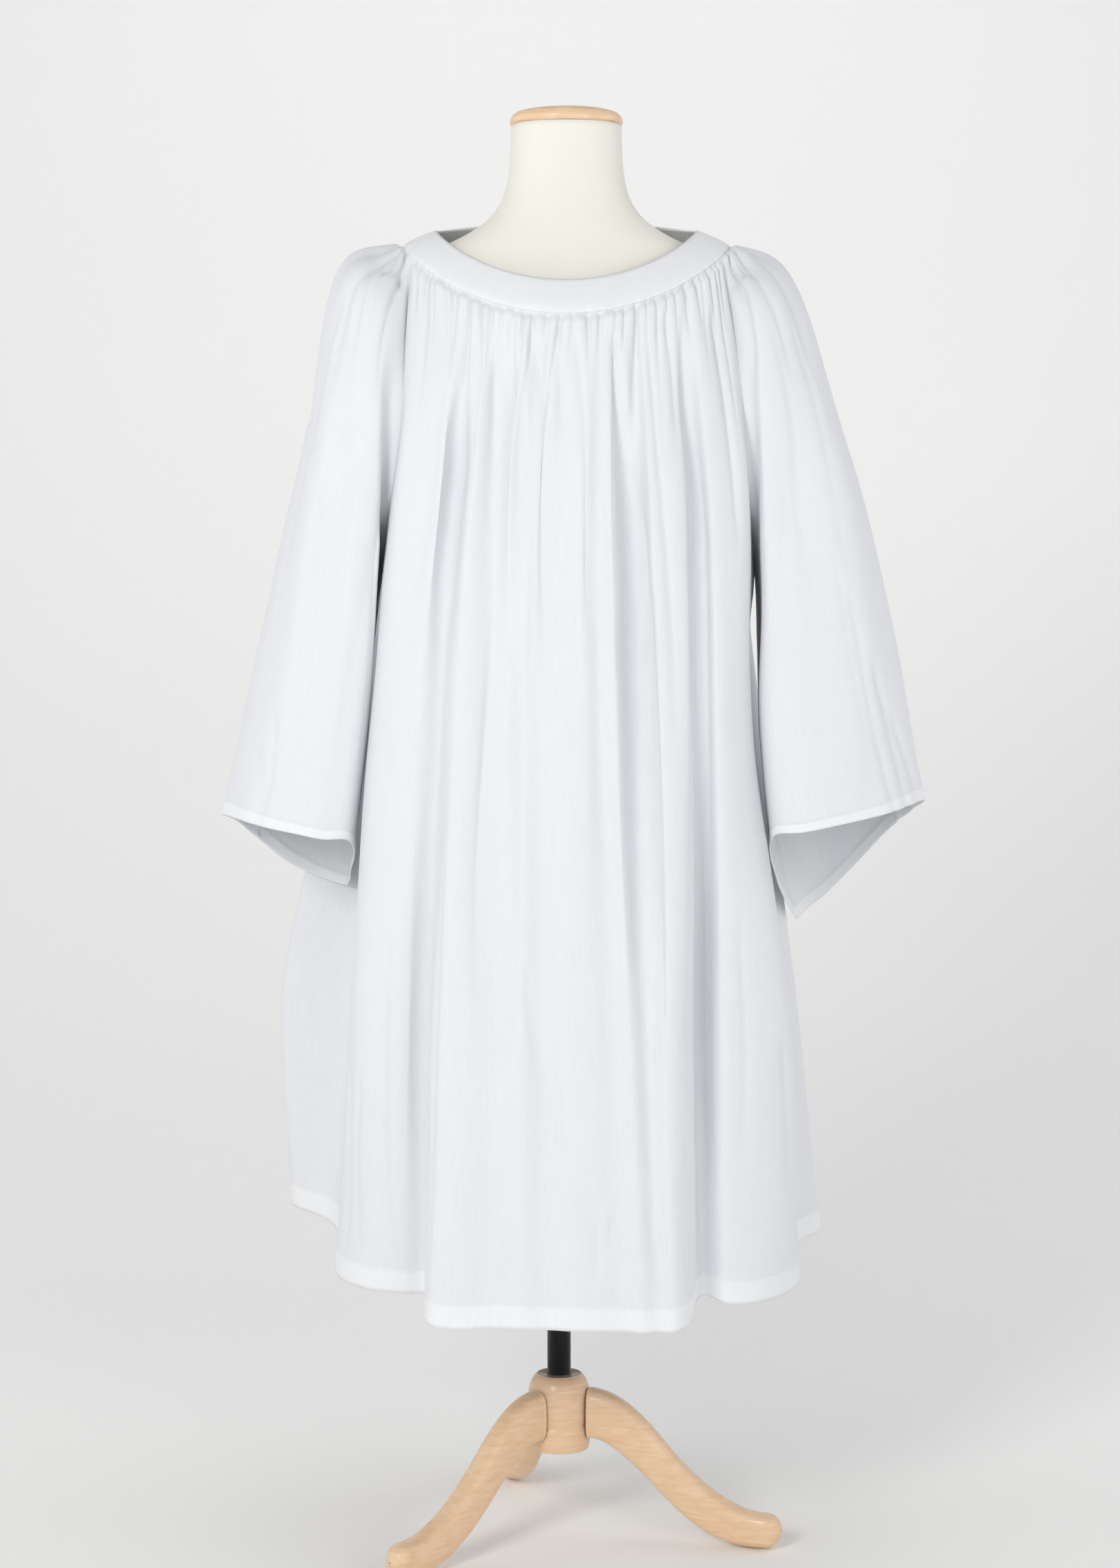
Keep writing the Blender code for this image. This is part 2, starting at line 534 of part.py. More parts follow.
def make_stand(wood, black):
    """A steel pole in a hub with three curved wooden legs, and the wooden cap on the neck."""
    floor_of_torso = TORSO_SECTIONS[0][0]
    pole = turned("form_pole", ((POLE_RADIUS, HUB_TOP + GAP), (POLE_RADIUS, floor_of_torso - GAP)), black)
    hub = turned("form_hub", [(radius, HUB_BOTTOM + up) for radius, up in HUB_PROFILE], wood)
    neck_top = TORSO_SECTIONS[-1][0]
    cap = turned("form_neck_cap", [(radius, neck_top + up) for radius, up in CAP_PROFILE], wood)
    cap.location.y = NECK_Y * MM
    for piece in (pole, hub):
        piece.location = (STAND_AT[0] * MM, STAND_AT[1] * MM, 0)
    outline = leg_outline()
    for number, degrees in enumerate(LEG_ANGLES_DEG, start=1):
        shape = bmesh.new()
        face = shape.faces.new([shape.verts.new((r * MM, -LEG_THICK / 2 * MM, z * MM)) for r, z in outline])
        pushed = bmesh.ops.extrude_face_region(shape, geom=[face])
        top = [v for v in pushed["geom"] if isinstance(v, bmesh.types.BMVert)]
        bmesh.ops.translate(shape, verts=top, vec=Vector((0, LEG_THICK * MM, 0)))
        mesh = bpy.data.meshes.new(f"form_leg_{number}")
        shape.to_mesh(mesh)
        shape.free()
        leg = placed(f"form_leg_{number}", mesh)
        mesh.set_sharp_from_angle(angle=math.radians(40))
        leg.rotation_euler.z = math.radians(degrees)
        leg.location = (STAND_AT[0] * MM, STAND_AT[1] * MM, 0)
        leg.data.materials.append(wood)


for old in list(bpy.data.objects):
    bpy.data.objects.remove(old)
make_garment(material("white_cotton", CLOTH_WHITE, 0.85))
make_torso(material("cream_jersey", LINEN_CREAM, 0.9))
make_stand(material("beech", WOOD, 0.5), material("black_lacquer", BLACK, 0.35, 0.3))
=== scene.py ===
"""A white choir surplice on a limbless dress form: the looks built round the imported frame.

Metres, +Z up, +X towards the wearer's left, the front faces -Y. The cloth repeats the fold lines of the
solid pieces at a finer step and adds the gathers, creases, hems and stitches.
"""

import math

import bpy
import numpy as np
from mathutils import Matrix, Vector


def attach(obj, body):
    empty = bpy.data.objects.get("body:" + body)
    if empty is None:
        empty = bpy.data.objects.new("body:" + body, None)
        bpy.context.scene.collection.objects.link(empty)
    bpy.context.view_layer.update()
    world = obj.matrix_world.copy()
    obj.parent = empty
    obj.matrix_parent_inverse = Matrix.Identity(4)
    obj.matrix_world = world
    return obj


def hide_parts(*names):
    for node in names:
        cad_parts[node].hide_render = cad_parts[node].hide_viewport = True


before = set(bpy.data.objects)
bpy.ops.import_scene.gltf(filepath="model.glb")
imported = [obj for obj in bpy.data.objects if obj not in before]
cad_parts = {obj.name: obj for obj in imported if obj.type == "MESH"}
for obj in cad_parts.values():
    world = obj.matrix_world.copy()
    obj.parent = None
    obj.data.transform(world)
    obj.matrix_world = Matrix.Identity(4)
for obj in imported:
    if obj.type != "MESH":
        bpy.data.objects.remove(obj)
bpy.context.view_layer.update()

MM = 0.001

# ---- The stand's legs ----------------------------------------------------------------------------
# Three boards of beech, band-sawn to an S, rounded over on a spindle moulder, sanded and varnished.
# Each is dowelled to the turned hub and swells to a spoon-shaped foot that stands on the floor.
STAND_AT = np.array((-8, -8)) * MM  # the pole's axis
LEG_ANGLES_DEG = (-15, 105, 225)
LEG_CURVE = np.array(((34.4, 134), (98, 134), (140, 12), (234, 17))) * MM  # out from the pole, and up
LEG_DEPTH = ((0.0, 56), (0.45, 40), (0.8, 42), (1.0, 36))  # share along the leg, depth in mm
LEG_THICK = 30 * MM
LEG_EDGE = 3.2  # the power of the cross-section's outline: 2 is an ellipse, higher is squarer
LEG_STEPS, END_STEPS, LEG_SIDES = 60, 13, 40  # points along a leg, round its end and round its section
END_SHARE = 0.02  # the end closes on a section this share of the leg's own


def linear(code):
    """A colour's linear red, green and blue from its sRGB hex code, by the sRGB curve."""
    parts = [int(code[i : i + 2], 16) / 255 for i in (1, 3, 5)]
    return tuple(c / 12.92 if c <= 0.04045 else ((c + 0.055) / 1.055) ** 2.4 for c in parts)


def add_node(tree, kind, settings=None, **links):
    """Adds a node, sets its properties, and gives each named input a value or another node's output."""
    node = tree.nodes.new(kind)
    for key, value in (settings or {}).items():
        setattr(node, key, value)
    for key, value in links.items():
        by_number = key[0] == "i" and key[1:].isdigit()
        socket = node.inputs[int(key[1:]) if by_number else key.replace("_", " ")]
        if isinstance(value, bpy.types.NodeSocket):
            tree.links.new(value, socket)
        elif isinstance(value, tuple) and len(value) == 3 and len(socket.default_value) == 4:
            socket.default_value = (*value, 1.0)
        else:
            socket.default_value = value
    return node


def new_material(name, roughness, **sockets):
    """A material with an empty tree but for its Principled shader, and that shader."""
    made = bpy.data.materials.new(name)
    made.use_nodes = True
    shader = made.node_tree.nodes["Principled BSDF"]
    shader.inputs["Roughness"].default_value = roughness
    for key, value in sockets.items():
        shader.inputs[key.replace("_", " ")].default_value = value
    return made, made.node_tree, shader


def new_object(name, points, faces):
    """An object in the scene with a smooth mesh of these points and faces."""
    mesh = bpy.data.meshes.new(name)
    mesh.from_pydata(points.tolist(), [], faces)
    mesh.shade_smooth()
    obj = bpy.data.objects.new(name, mesh)
    bpy.context.scene.collection.objects.link(obj)
    return obj


def grid_mesh(name, grid, around=False):
    """A mesh from a grid of points (column, row, xyz), one quad a cell. around joins its last column to its
    first and closes the two ends of the tube that this makes."""
    number = np.arange(grid.shape[0] * grid.shape[1]).reshape(grid.shape[:2])
    if around:
        number = np.concatenate([number, number[:1]])
    faces = np.stack([number[:-1, :-1], number[1:, :-1], number[1:, 1:], number[:-1, 1:]], axis=-1)
    faces = faces.reshape(-1, 4).tolist()
    if around:
        faces += [number[:-1, 0].tolist(), number[:-1, -1][::-1].tolist()]
    return new_object(name, grid.reshape(-1, 3), faces)


def beech():
    """Varnished beech: pale, with a long soft grain and short dark flecks, under a satin coat."""
    made, tree, shader = new_material("varnished_beech", 0.42, Coat_Weight=0.35, Coat_Roughness=0.18)
    place = add_node(tree, "ShaderNodeTexCoord").outputs["Object"]
    # The grain lies level: streaks about 22 mm long, 4 mm from one to the next.
    stretched = add_node(tree, "ShaderNodeMapping", Vector=place, Scale=(45.0, 45.0, 260.0)).outputs[0]
    grain = add_node(tree, "ShaderNodeTexNoise", Vector=stretched, Scale=1.0, Detail=5.0, Roughness=0.6)
    flecks = add_node(tree, "ShaderNodeTexNoise", Vector=stretched, Scale=6.0, Detail=2.0)
    tone = add_node(tree, "ShaderNodeValToRGB", Fac=grain.outputs["Fac"])
    tone.color_ramp.elements[0].position, tone.color_ramp.elements[1].position = 0.3, 0.72
    tone.color_ramp.elements[0].color = (*linear("#E2BA92"), 1)
    tone.color_ramp.elements[1].color = (*linear("#EDCFAE"), 1)
    spots = add_node(tree, "ShaderNodeMapRange", Value=flecks.outputs["Fac"], i1=0.62, i2=0.74, i3=0.0,
                     i4=0.14)
    mixed = add_node(tree, "ShaderNodeMix", {"data_type": "RGBA"}, i0=spots.outputs[0],
                     i6=tone.outputs[0], i7=linear("#B98A5E"))
    tree.links.new(mixed.outputs[2], shader.inputs["Base Color"])
    bump = add_node(tree, "ShaderNodeBump", Height=grain.outputs["Fac"], Strength=0.12, Distance=0.4 * MM)
    tree.links.new(bump.outputs[0], shader.inputs["Normal"])
    return made


def leg_board(degrees):
    """A leg: a superellipse section carried along a cubic curve, that shrinks to a round end past the curve's
    last point, turned about the pole by degrees, and cut flat where it would pass below the floor."""
    end = np.linspace(0, math.pi / 2, END_STEPS + 1)[1:]
    share = np.concatenate([np.linspace(0, 1, LEG_STEPS), np.ones(END_STEPS)])
    reach = np.concatenate([np.zeros(LEG_STEPS), np.sin(end)])
    shrink = np.concatenate([np.ones(LEG_STEPS), np.cos(end).clip(END_SHARE)])
    p, s = LEG_CURVE, share[:, None]
    line = (1 - s) ** 3 * p[0] + 3 * (1 - s) ** 2 * s * p[1] + 3 * (1 - s) * s**2 * p[2] + s**3 * p[3]
    way = 3 * (1 - s) ** 2 * (p[1] - p[0]) + 6 * (1 - s) * s * (p[2] - p[1]) + 3 * s**2 * (p[3] - p[2])
    way /= np.linalg.norm(way, axis=1, keepdims=True)
    half = np.interp(share, *zip(*LEG_DEPTH)) * MM / 2
    line = line + way * (reach * half)[:, None]
    a = np.linspace(0, 2 * math.pi, LEG_SIDES, endpoint=False)
    side = np.sign(np.cos(a)) * np.abs(np.cos(a)) ** (2 / LEG_EDGE) * LEG_THICK / 2
    rise = np.sign(np.sin(a)) * np.abs(np.sin(a)) ** (2 / LEG_EDGE)
    up = np.stack([-way[:, 1], way[:, 0]], axis=1)
    deep = (half * shrink)[:, None] * rise[None]
    out = line[:, None, 0] + up[:, None, 0] * deep
    z = np.maximum(line[:, None, 1] + up[:, None, 1] * deep, 0.0)
    out = np.maximum(out, LEG_CURVE[0, 0])
    wide = shrink[:, None] ** 0.8 * side[None]  # seen from above, the end is a little blunter
    turn = math.radians(degrees)
    x = STAND_AT[0] + out * math.cos(turn) - wide * math.sin(turn)
    y = STAND_AT[1] + out * math.sin(turn) + wide * math.cos(turn)
    return np.stack([x, y, z], axis=-1).transpose(1, 0, 2)


wood = beech()
for leg_number, leg_degrees in enumerate(LEG_ANGLES_DEG, start=1):
    leg = grid_mesh(f"leg_{leg_number}", leg_board(leg_degrees), around=True)
    leg.data.materials.append(wood)
    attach(leg, "root")
    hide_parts(f"form_leg_{leg_number}")


# ---- Hub, pole and neck cap ----------------------------------------------------------------------
# The hub and the cap are turned from beech on a lathe and varnished like the legs.
# The pole is a steel tube with a black satin lacquer.
HUB_PROFILE = (  # radius and height in mm
    (29, 92), (32.5, 93), (34, 97), (34, 118), (33, 120), (33, 122), (34, 124), (34, 158), (33, 160),
    (32.6, 163), (30.5, 169), (27.4, 173.5), (24.5, 176),
)
POLE_TOP, POLE_FOOT, POLE_RADIUS = 805.7, 176.3, 13
CAP_PROFILE = (
    (59.4, 1544.3), (61, 1546.5), (61.4, 1549), (61, 1552), (59, 1555.6), (55.5, 1558.2), (48, 1560.2),
    (34, 1561.6), (12, 1562),
)
NECK_Y = 4 * MM


def turned(profile, centre, sides=96, fine=5):
    """A turned surface: straight lines through the profile's radii and heights, swept round the pole."""
    profile = np.array(profile, float) * MM
    run = np.concatenate([[0], np.cumsum(np.linalg.norm(np.diff(profile, axis=0), axis=1))])
    at = np.interp(np.linspace(0, len(run) - 1, (len(run) - 1) * fine + 1), np.arange(len(run)), run)
    radius, height = np.interp(at, run, profile[:, 0]), np.interp(at, run, profile[:, 1])
    a = np.linspace(0, 2 * math.pi, sides, endpoint=False)[:, None]
    x, y = centre[0] + radius * np.cos(a), centre[1] + radius * np.sin(a)
    return np.stack([x, y, np.broadcast_to(height, x.shape)], axis=-1)


def satin_lacquer():
    """Black satin lacquer on steel: nearly even, with a faint orange peel about 2 mm across."""
    black = (*linear("#1B1B1D"), 1)
    made, tree, shader = new_material("black_satin_lacquer", 0.35, Base_Color=black, Coat_Weight=0.2)
    place = add_node(tree, "ShaderNodeTexCoord").outputs["Object"]
    peel = add_node(tree, "ShaderNodeTexNoise", Vector=place, Scale=500.0, Detail=2.0)
    bump = add_node(tree, "ShaderNodeBump", Height=peel.outputs["Fac"], Strength=0.08, Distance=0.1 * MM)
    tree.links.new(bump.outputs[0], shader.inputs["Normal"])
    return made


hub = grid_mesh("hub", turned(HUB_PROFILE, STAND_AT), around=True)
cap = grid_mesh("neck_cap", turned(CAP_PROFILE, (0, NECK_Y)), around=True)
tube = turned(((POLE_RADIUS, POLE_FOOT), (POLE_RADIUS, POLE_TOP)), STAND_AT)
pole = grid_mesh("pole", tube, around=True)
for piece, node_name, slot_name, finish in (
    (hub, "form_hub", "stand_wood", wood),
    (cap, "form_neck_cap", "stand_wood", wood),
    (pole, "form_pole", "stand_pole", satin_lacquer()),
):
    piece.data.materials.append(finish)
    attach(piece, "root")
    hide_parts(node_name)


# ---- The dress form's torso ----------------------------------------------------------------------
# A papier-mache shell, padded and covered in stretched cream jersey.
TORSO_SECTIONS = (  # height, half width, front and back reach, in mm
    (806, 118, 86, 92), (812, 134, 98, 106), (850, 148, 108, 116), (930, 156, 114, 120),
    (1010, 150, 112, 112), (1080, 148, 114, 108), (1160, 158, 124, 116), (1240, 164, 130, 122),
    (1300, 166, 120, 120), (1345, 170, 101, 112), (1375, 176, 86, 104), (1390, 173, 79, 97),
    (1402, 160, 74, 91), (1414, 137, 70, 86), (1428, 108, 66, 80), (1446, 83, 62, 73),
    (1470, 68, 59, 66), (1500, 62, 58, 62), (1544, 60, 58, 60),
)
TORSO_SQUARENESS = 2.25
TORSO_STEPS, TORSO_SIDES = 120, 160


def cubic(points, step, i, f):
    """Places the share f of the way from point i to the next. step is the distance between neighbours. Each
    stretch is a cubic whose slope at a point is the mean of those to both sides, weighted to the nearer."""
    slope = np.diff(points, axis=0) / step
    weight = step[1:] / (step[1:] + step[:-1])
    tangent = np.concatenate([slope[:1], weight * slope[:-1] + (1 - weight) * slope[1:], slope[-1:]])
    return ((2 * f**3 - 3 * f**2 + 1) * points[i] + (f**3 - 2 * f**2 + f) * step[i] * tangent[i]
            + (3 * f**2 - 2 * f**3) * points[i + 1] + (f**3 - f**2) * step[i] * tangent[i + 1])


def smooth_line(shares, points, at):
    """A smooth line through points, each at its share, read at the shares in at."""
    shares, points, at = np.asarray(shares, float), np.asarray(points, float), np.asarray(at, float)
    step = np.diff(shares)[:, None]
    i = np.clip(np.searchsorted(shares, at, side="right") - 1, 0, len(shares) - 2)
    return cubic(points, step, i, (at - shares[i])[:, None] / step[i])


def torso_grid():
    """The torso: superellipse sections on a smooth line through the table's rows."""
    rows = np.array(TORSO_SECTIONS, float)
    rows = smooth_line(np.arange(len(rows)), rows, np.linspace(0, len(rows) - 1, TORSO_STEPS)) * MM
    a = np.linspace(0, 2 * math.pi, TORSO_SIDES, endpoint=False)[:, None]
    power = 2 / TORSO_SQUARENESS
    cos = np.sign(np.cos(a)) * np.abs(np.cos(a)) ** power
    sin = np.sign(np.sin(a)) * np.abs(np.sin(a)) ** power
    x = rows[:, 1] * cos
    y = np.where(sin < 0, rows[:, 2], rows[:, 3]) * sin + NECK_Y
    return np.stack([x, y, np.broadcast_to(rows[:, 0], x.shape)], axis=-1)


def jersey():
    """Cream cotton jersey: matt, with fine upright ribs 0.8 mm apart, drawn at 1.6 mm so that they show."""
    made, tree, shader = new_material("cream_jersey", 0.92, Sheen_Weight=0.25, Sheen_Roughness=0.5)
    place = add_node(tree, "ShaderNodeTexCoord").outputs["Object"]
    ribs = add_node(tree, "ShaderNodeTexWave", {"bands_direction": "X"}, Vector=place, Scale=200.0,
                    Distortion=0.6)
    cloud = add_node(tree, "ShaderNodeTexNoise", Vector=place, Scale=9.0, Detail=3.0)
    tone = add_node(tree, "ShaderNodeMix", {"data_type": "RGBA"}, i0=cloud.outputs["Fac"],
                    i6=linear("#E8E5DB"), i7=linear("#EEECE4"))
    tree.links.new(tone.outputs[2], shader.inputs["Base Color"])
    bump = add_node(tree, "ShaderNodeBump", Height=ribs.outputs["Fac"], Strength=0.25, Distance=0.2 * MM)
    tree.links.new(bump.outputs[0], shader.inputs["Normal"])
    return made


torso = grid_mesh("torso", torso_grid(), around=True)
torso.data.materials.append(jersey())
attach(torso, "root")
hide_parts("form_torso")


# ---- The cut of the surplice ---------------------------------------------------------------------
# Five pieces of plain white polyester and cotton: a doubled round yoke, and a front, a back and two raglan
# sleeves gathered into it. A fold line is a crest or a trough from the yoke to the hem, one row of a table.
CLOTH = 0.45 * MM
HEM_CLOTH = 1.1 * MM  # the turned-up hem is three layers
YOKE_CLOTH = 1.5 * MM
# The neckline and the gathering line of the yoke, in mm: half width, reach to the front and back, heights.
NECKLINE = dict(half=141, front=100, back=82, side_z=1432, front_z=1370, back_z=1450)
GATHER_LINE = dict(half=177, front=126, back=113, side_z=1416, front_z=1333, back_z=1412)
YOKE_DIP = 1.55  # how late the neckline dips as it comes round to the front
YOKE_CROWN = 1.2 * MM  # how far the middle of the yoke stands above its edges
SLEEVE_HEAD_DEG = 20.0  # a sleeve takes this much of the yoke to each side of the shoulder line
CHEST_Z, WAIST_Z, KNEE_Z = 1215, 870, 600  # where the tables place a fold line, in mm
UNDERARM_SHARE = 0.32  # how far down its length a sleeve closes into a tube, and the side seam starts

# angle on the yoke; across and depth at the chest, waist and knee; across, depth and height at the hem
FRONT_FOLDS = (
    (-153, -170, -104, -211, -106, -228, -112, -248, -84, 303),  # outer edge of the right panel
    (-140, -143, -120, -186, -136, -200, -142, -212, -136, 299),
    (-131, -126, -133, -160, -150, -168, -154, -172, -150, 298),
    (-124, -112, -128, -137, -156, -148, -156, -150, -150, 297),  # trough beside the centre panel
    (-117, -95, -143, -120, -174, -135, -204, -143, -232, 284),  # right edge of the centre panel
    (-109, -71, -141, -92, -181, -106, -211, -118, -243, 281),
    (-104, -56, -151, -66, -179, -72, -208, -77, -240, 282),
    (-98, -40, -146, -44, -187, -46, -217, -46, -246, 282),
    (-93, -24, -154, -27, -184, -24, -212, -20, -242, 281),
    (-88, -4, -149, -3, -189, 1, -219, 6, -248, 281),
    (-82, 21, -154, 20, -190, 26, -218, 32, -247, 280),
    (-78, 34, -148, 36, -184, 46, -213, 58, -243, 279),
    (-73, 48, -152, 55, -189, 66, -217, 80, -246, 278),
    (-66, 72, -135, 78, -163, 84, -203, 96, -241, 278),  # long trough left of the centre
    (-62, 86, -144, 98, -184, 103, -214, 112, -241, 278),
    (-51, 123, -130, 131, -170, 128, -194, 125, -224, 280),  # left edge of the centre panel
    (-47, 133, -118, 141, -150, 144, -146, 146, -156, 297),  # deep trough beside it
    (-43, 146, -124, 159, -158, 163, -163, 170, -164, 290),
    (-33, 170, -112, 181, -140, 205, -142, 212, -140, 287),
    (-27, 183, -103, 199, -108, 238, -100, 250, -80, 291),  # outer edge of the left panel
)
BACK_FOLDS = (
    (24, 185, 91, 203, 78, 228, 62, 264, 50, 312),
    (28, 182, 101, 224, 116, 258, 104, 288, 82, 316),
    (36, 168, 116, 196, 150, 252, 140, 276, 132, 310),
    (44, 152, 120, 174, 142, 214, 148, 238, 148, 301),  # trough
    (52, 132, 134, 156, 176, 190, 194, 208, 206, 298),
    (60, 107, 131, 128, 160, 150, 172, 162, 182, 296),  # trough
    (67, 86, 144, 104, 186, 120, 212, 130, 236, 294),
    (75, 62, 146, 74, 188, 83, 218, 90, 242, 293),
    (83, 40, 138, 42, 168, 48, 182, 52, 198, 294),  # deep trough
    (92, 12, 150, 12, 190, 14, 219, 15, 244, 293),
    (99, -12, 147, -16, 180, -18, 203, -18, 223, 294),  # shallow trough
    (106, -36, 151, -46, 189, -54, 218, -60, 243, 295),
    (114, -64, 138, -76, 166, -88, 181, -96, 192, 297),  # deep trough
    (122, -90, 143, -112, 182, -130, 212, -140, 232, 298),
    (130, -114, 132, -138, 162, -162, 178, -176, 192, 302),  # trough
    (137, -134, 132, -168, 170, -202, 192, -220, 204, 308),
    (145, -154, 119, -196, 152, -240, 158, -262, 158, 322),  # trough
    (151, -172, 108, -250, 154, -306, 148, -306, 142, 338),
    (154, -176, 100, -256, 126, -320, 106, -310, 92, 343),
    (157, -177, 91, -200, 78, -238, 62, -266, 50, 334),
)
# share of the piece's length, across, depth and height; the last raglan point is the underarm
LEFT_FRONT_RAGLAN = (
    (0.10, 180, -68, 1312), (0.19, 189, -82, 1222), (0.27, 198, -64, 1126), (0.32, 206, 2, 1064),
)
LEFT_BACK_RAGLAN = (
    (0.10, 179, 68, 1318), (0.19, 186, 82, 1226), (0.27, 195, 46, 1128), (0.32, 206, 2, 1064),
)
RIGHT_FRONT_RAGLAN = (
    (0.10, 171, -68, 1312), (0.19, 176, -82, 1222), (0.27, 190, -64, 1126), (0.32, 201, 2, 1064),
)
RIGHT_BACK_RAGLAN = (
    (0.10, 172, 68, 1318), (0.19, 178, 82, 1226), (0.27, 189, 46, 1128), (0.32, 201, 2, 1064),
)
LEFT_SIDE_SEAM = ((0.37, 199, 4, 1010), (0.52, 192, 6, 860), (0.76, 216, 10, 600), (1.0, 254, 16, 306))
RIGHT_SIDE_SEAM = ((0.37, 195, 4, 1010), (0.52, 190, 6, 860), (0.76, 216, 10, 604), (1.0, 250, 16, 324))
LEFT_SLEEVE_SEAM = ((0.45, 210, 18, 986), (0.66, 216, 42, 866), (1.0, 262, 118, 668))
RIGHT_SLEEVE_SEAM = ((0.45, 211, 18, 986), (0.66, 223, 34, 866), (1.0, 246, 66, 712))
# angle from the shoulder line; points over the shoulder, level with the underarm, at the elbow, at the hem
SLEEVE_LEVELS = (0.10, 0.32, 0.66, 1.0)
LEFT_SLEEVE_FOLDS = (
    (-17, (185, -79, 1322), (207, -64, 1078), (212, -30, 890), (233, 8, 722)),
    (-12, (196, -84, 1346), (210, -94, 1096), (209, -102, 918), (222, -114, 783)),  # inner front edge
    (-9, (207, -78, 1358), (234, -98, 1114), (234, -116, 932), (250, -131, 787)),
    (-6, (216, -68, 1368), (252, -92, 1140), (270, -112, 946), (290, -129, 795)),
    (-3, (224, -48, 1382), (278, -82, 1178), (312, -98, 972), (342, -106, 805)),
    (-1, (230, -25, 1392), (293, -56, 1202), (338, -64, 996), (374, -66, 812)),
    (1, (232, -2, 1397), (301, -14, 1214), (352, -20, 1018), (391, -22, 814)),  # top of the arm
    (4, (230, 22, 1395), (297, 32, 1212), (349, 30, 1012), (386, 26, 801)),
    (7, (224, 46, 1386), (281, 66, 1192), (332, 72, 984), (363, 74, 775)),
    (10, (213, 68, 1370), (256, 88, 1150), (300, 98, 944), (331, 108, 735)),
    (14, (197, 81, 1346), (228, 68, 1100), (252, 98, 894), (293, 130, 693)),
    (17, (187, 78, 1326), (211, 44, 1078), (226, 74, 884), (276, 128, 680)),
)
RIGHT_SLEEVE_FOLDS = (
    (-17, (177, -79, 1322), (204, -62, 1078), (216, -30, 890), (238, 2, 728)),
    (-12, (190, -84, 1348), (200, -97, 1096), (214, -104, 920), (233, -106, 777)),  # inner front edge
    (-9, (204, -78, 1362), (220, -104, 1118), (238, -116, 932), (258, -122, 779)),
    (-6, (215, -68, 1374), (240, -92, 1146), (262, -110, 944), (288, -122, 785)),
    (-3, (225, -48, 1388), (262, -82, 1180), (294, -96, 970), (330, -100, 792)),
    (-1, (231, -25, 1399), (275, -56, 1202), (314, -62, 994), (357, -62, 797)),
    (1, (234, -2, 1404), (282, -14, 1214), (327, -18, 1018), (376, -20, 798)),  # top of the arm
    (4, (232, 22, 1402), (278, 32, 1212), (323, 28, 1012), (365, 22, 788)),
    (7, (225, 46, 1393), (263, 66, 1192), (306, 66, 984), (344, 62, 764)),
    (10, (212, 68, 1376), (242, 88, 1150), (278, 88, 944), (312, 82, 736)),
    (14, (192, 81, 1350), (219, 66, 1100), (250, 80, 894), (280, 90, 720)),
    (17, (180, 78, 1328), (207, 44, 1078), (233, 62, 882), (262, 84, 714)),
)


def yoke_edge(edge, degrees):
    """Points of one edge of the yoke: an ellipse whose height falls with a power of the sine of the angle,
    which is 0 at the left shoulder and -90 at the centre front."""
    a = np.radians(np.asarray(degrees, float))
    front = np.sin(a) < 0
    reach = np.where(front, edge["front"], edge["back"])
    end_z = np.where(front, edge["front_z"], edge["back_z"])
    z = edge["side_z"] + (end_z - edge["side_z"]) * np.abs(np.sin(a)) ** YOKE_DIP
    return np.stack([edge["half"] * np.cos(a), reach * np.sin(a), z], axis=-1) * MM


def seam_line(yoke_deg, rows, mirrored, at):
    """A seam: the smooth line from the yoke through its rows. mirrored puts it on the wearer's right."""
    start = yoke_edge(GATHER_LINE, 180 - yoke_deg if mirrored else yoke_deg)
    side = -1 if mirrored else 1
    points = [start] + [np.array((side * x, y, z)) * MM for _, x, y, z in rows]
    return smooth_line([0.0] + [row[0] for row in rows], points, at)


def body_fold(row, at):
    """A fold line of the front or back: the smooth line through yoke, chest, waist, knee and hem."""
    degrees, chest_x, chest_y, waist_x, waist_y, knee_x, knee_y, *hem = row
    stops = (chest_x, chest_y, CHEST_Z), (waist_x, waist_y, WAIST_Z), (knee_x, knee_y, KNEE_Z), hem
    stops = [yoke_edge(GATHER_LINE, degrees)] + [np.array(stop) * MM for stop in stops]
    height = stops[0][2] - stops[-1][2]
    return smooth_line([(stops[0][2] - stop[2]) / height for stop in stops], stops, at)


def sleeve_fold(row, mirrored, at):
    """A fold line of a sleeve: the smooth line from the yoke through its four points."""
    degrees, *points = row
    top = yoke_edge(GATHER_LINE, 180 - degrees if mirrored else degrees)
    side = -1 if mirrored else 1
    points = [top] + [np.array((side * x, y, z)) * MM for x, y, z in points]
    return smooth_line((0.0,) + SLEEVE_LEVELS, points, at)


def across_lines(lines, spots):
    """Points across fold lines at spots, where 2.5 is half way from line 2 to line 3. Each row is a smooth
    line whose steps are the square roots of the distances, which keeps a tight fold from swinging wide."""
    step = np.sqrt(np.maximum(np.linalg.norm(np.diff(lines, axis=0), axis=2), 1e-6))[:, :, None]
    i = np.clip(spots.astype(int), 0, len(lines) - 2)
    return cubic(lines, step, i, (spots - i)[:, None, None])


def even_spots(lines, count):
    """count spots across fold lines, shared out by the mean of the widths at the yoke and half way down, so
    that both the gathers and the folds get enough. Every line keeps a spot of its own."""
    width = np.linalg.norm(np.diff(lines[:, [0, lines.shape[1] // 2]], axis=0), axis=2)
    share = (width / width.sum(axis=0)).mean(axis=1)
    counts = np.maximum(np.round(share * count).astype(int), 3)
    return np.concatenate([i + np.arange(n) / n for i, n in enumerate(counts)] + [[len(counts)]])


def grid_normals(grid, closed=False):
    """Unit normals of a grid: the cross product of the steps down and across."""
    along = np.roll(grid, -1, axis=0) - np.roll(grid, 1, axis=0) if closed else np.gradient(grid, axis=0)
    normal = np.cross(np.gradient(grid, axis=1), along)
    return normal / np.maximum(np.linalg.norm(normal, axis=2, keepdims=True), 1e-12)


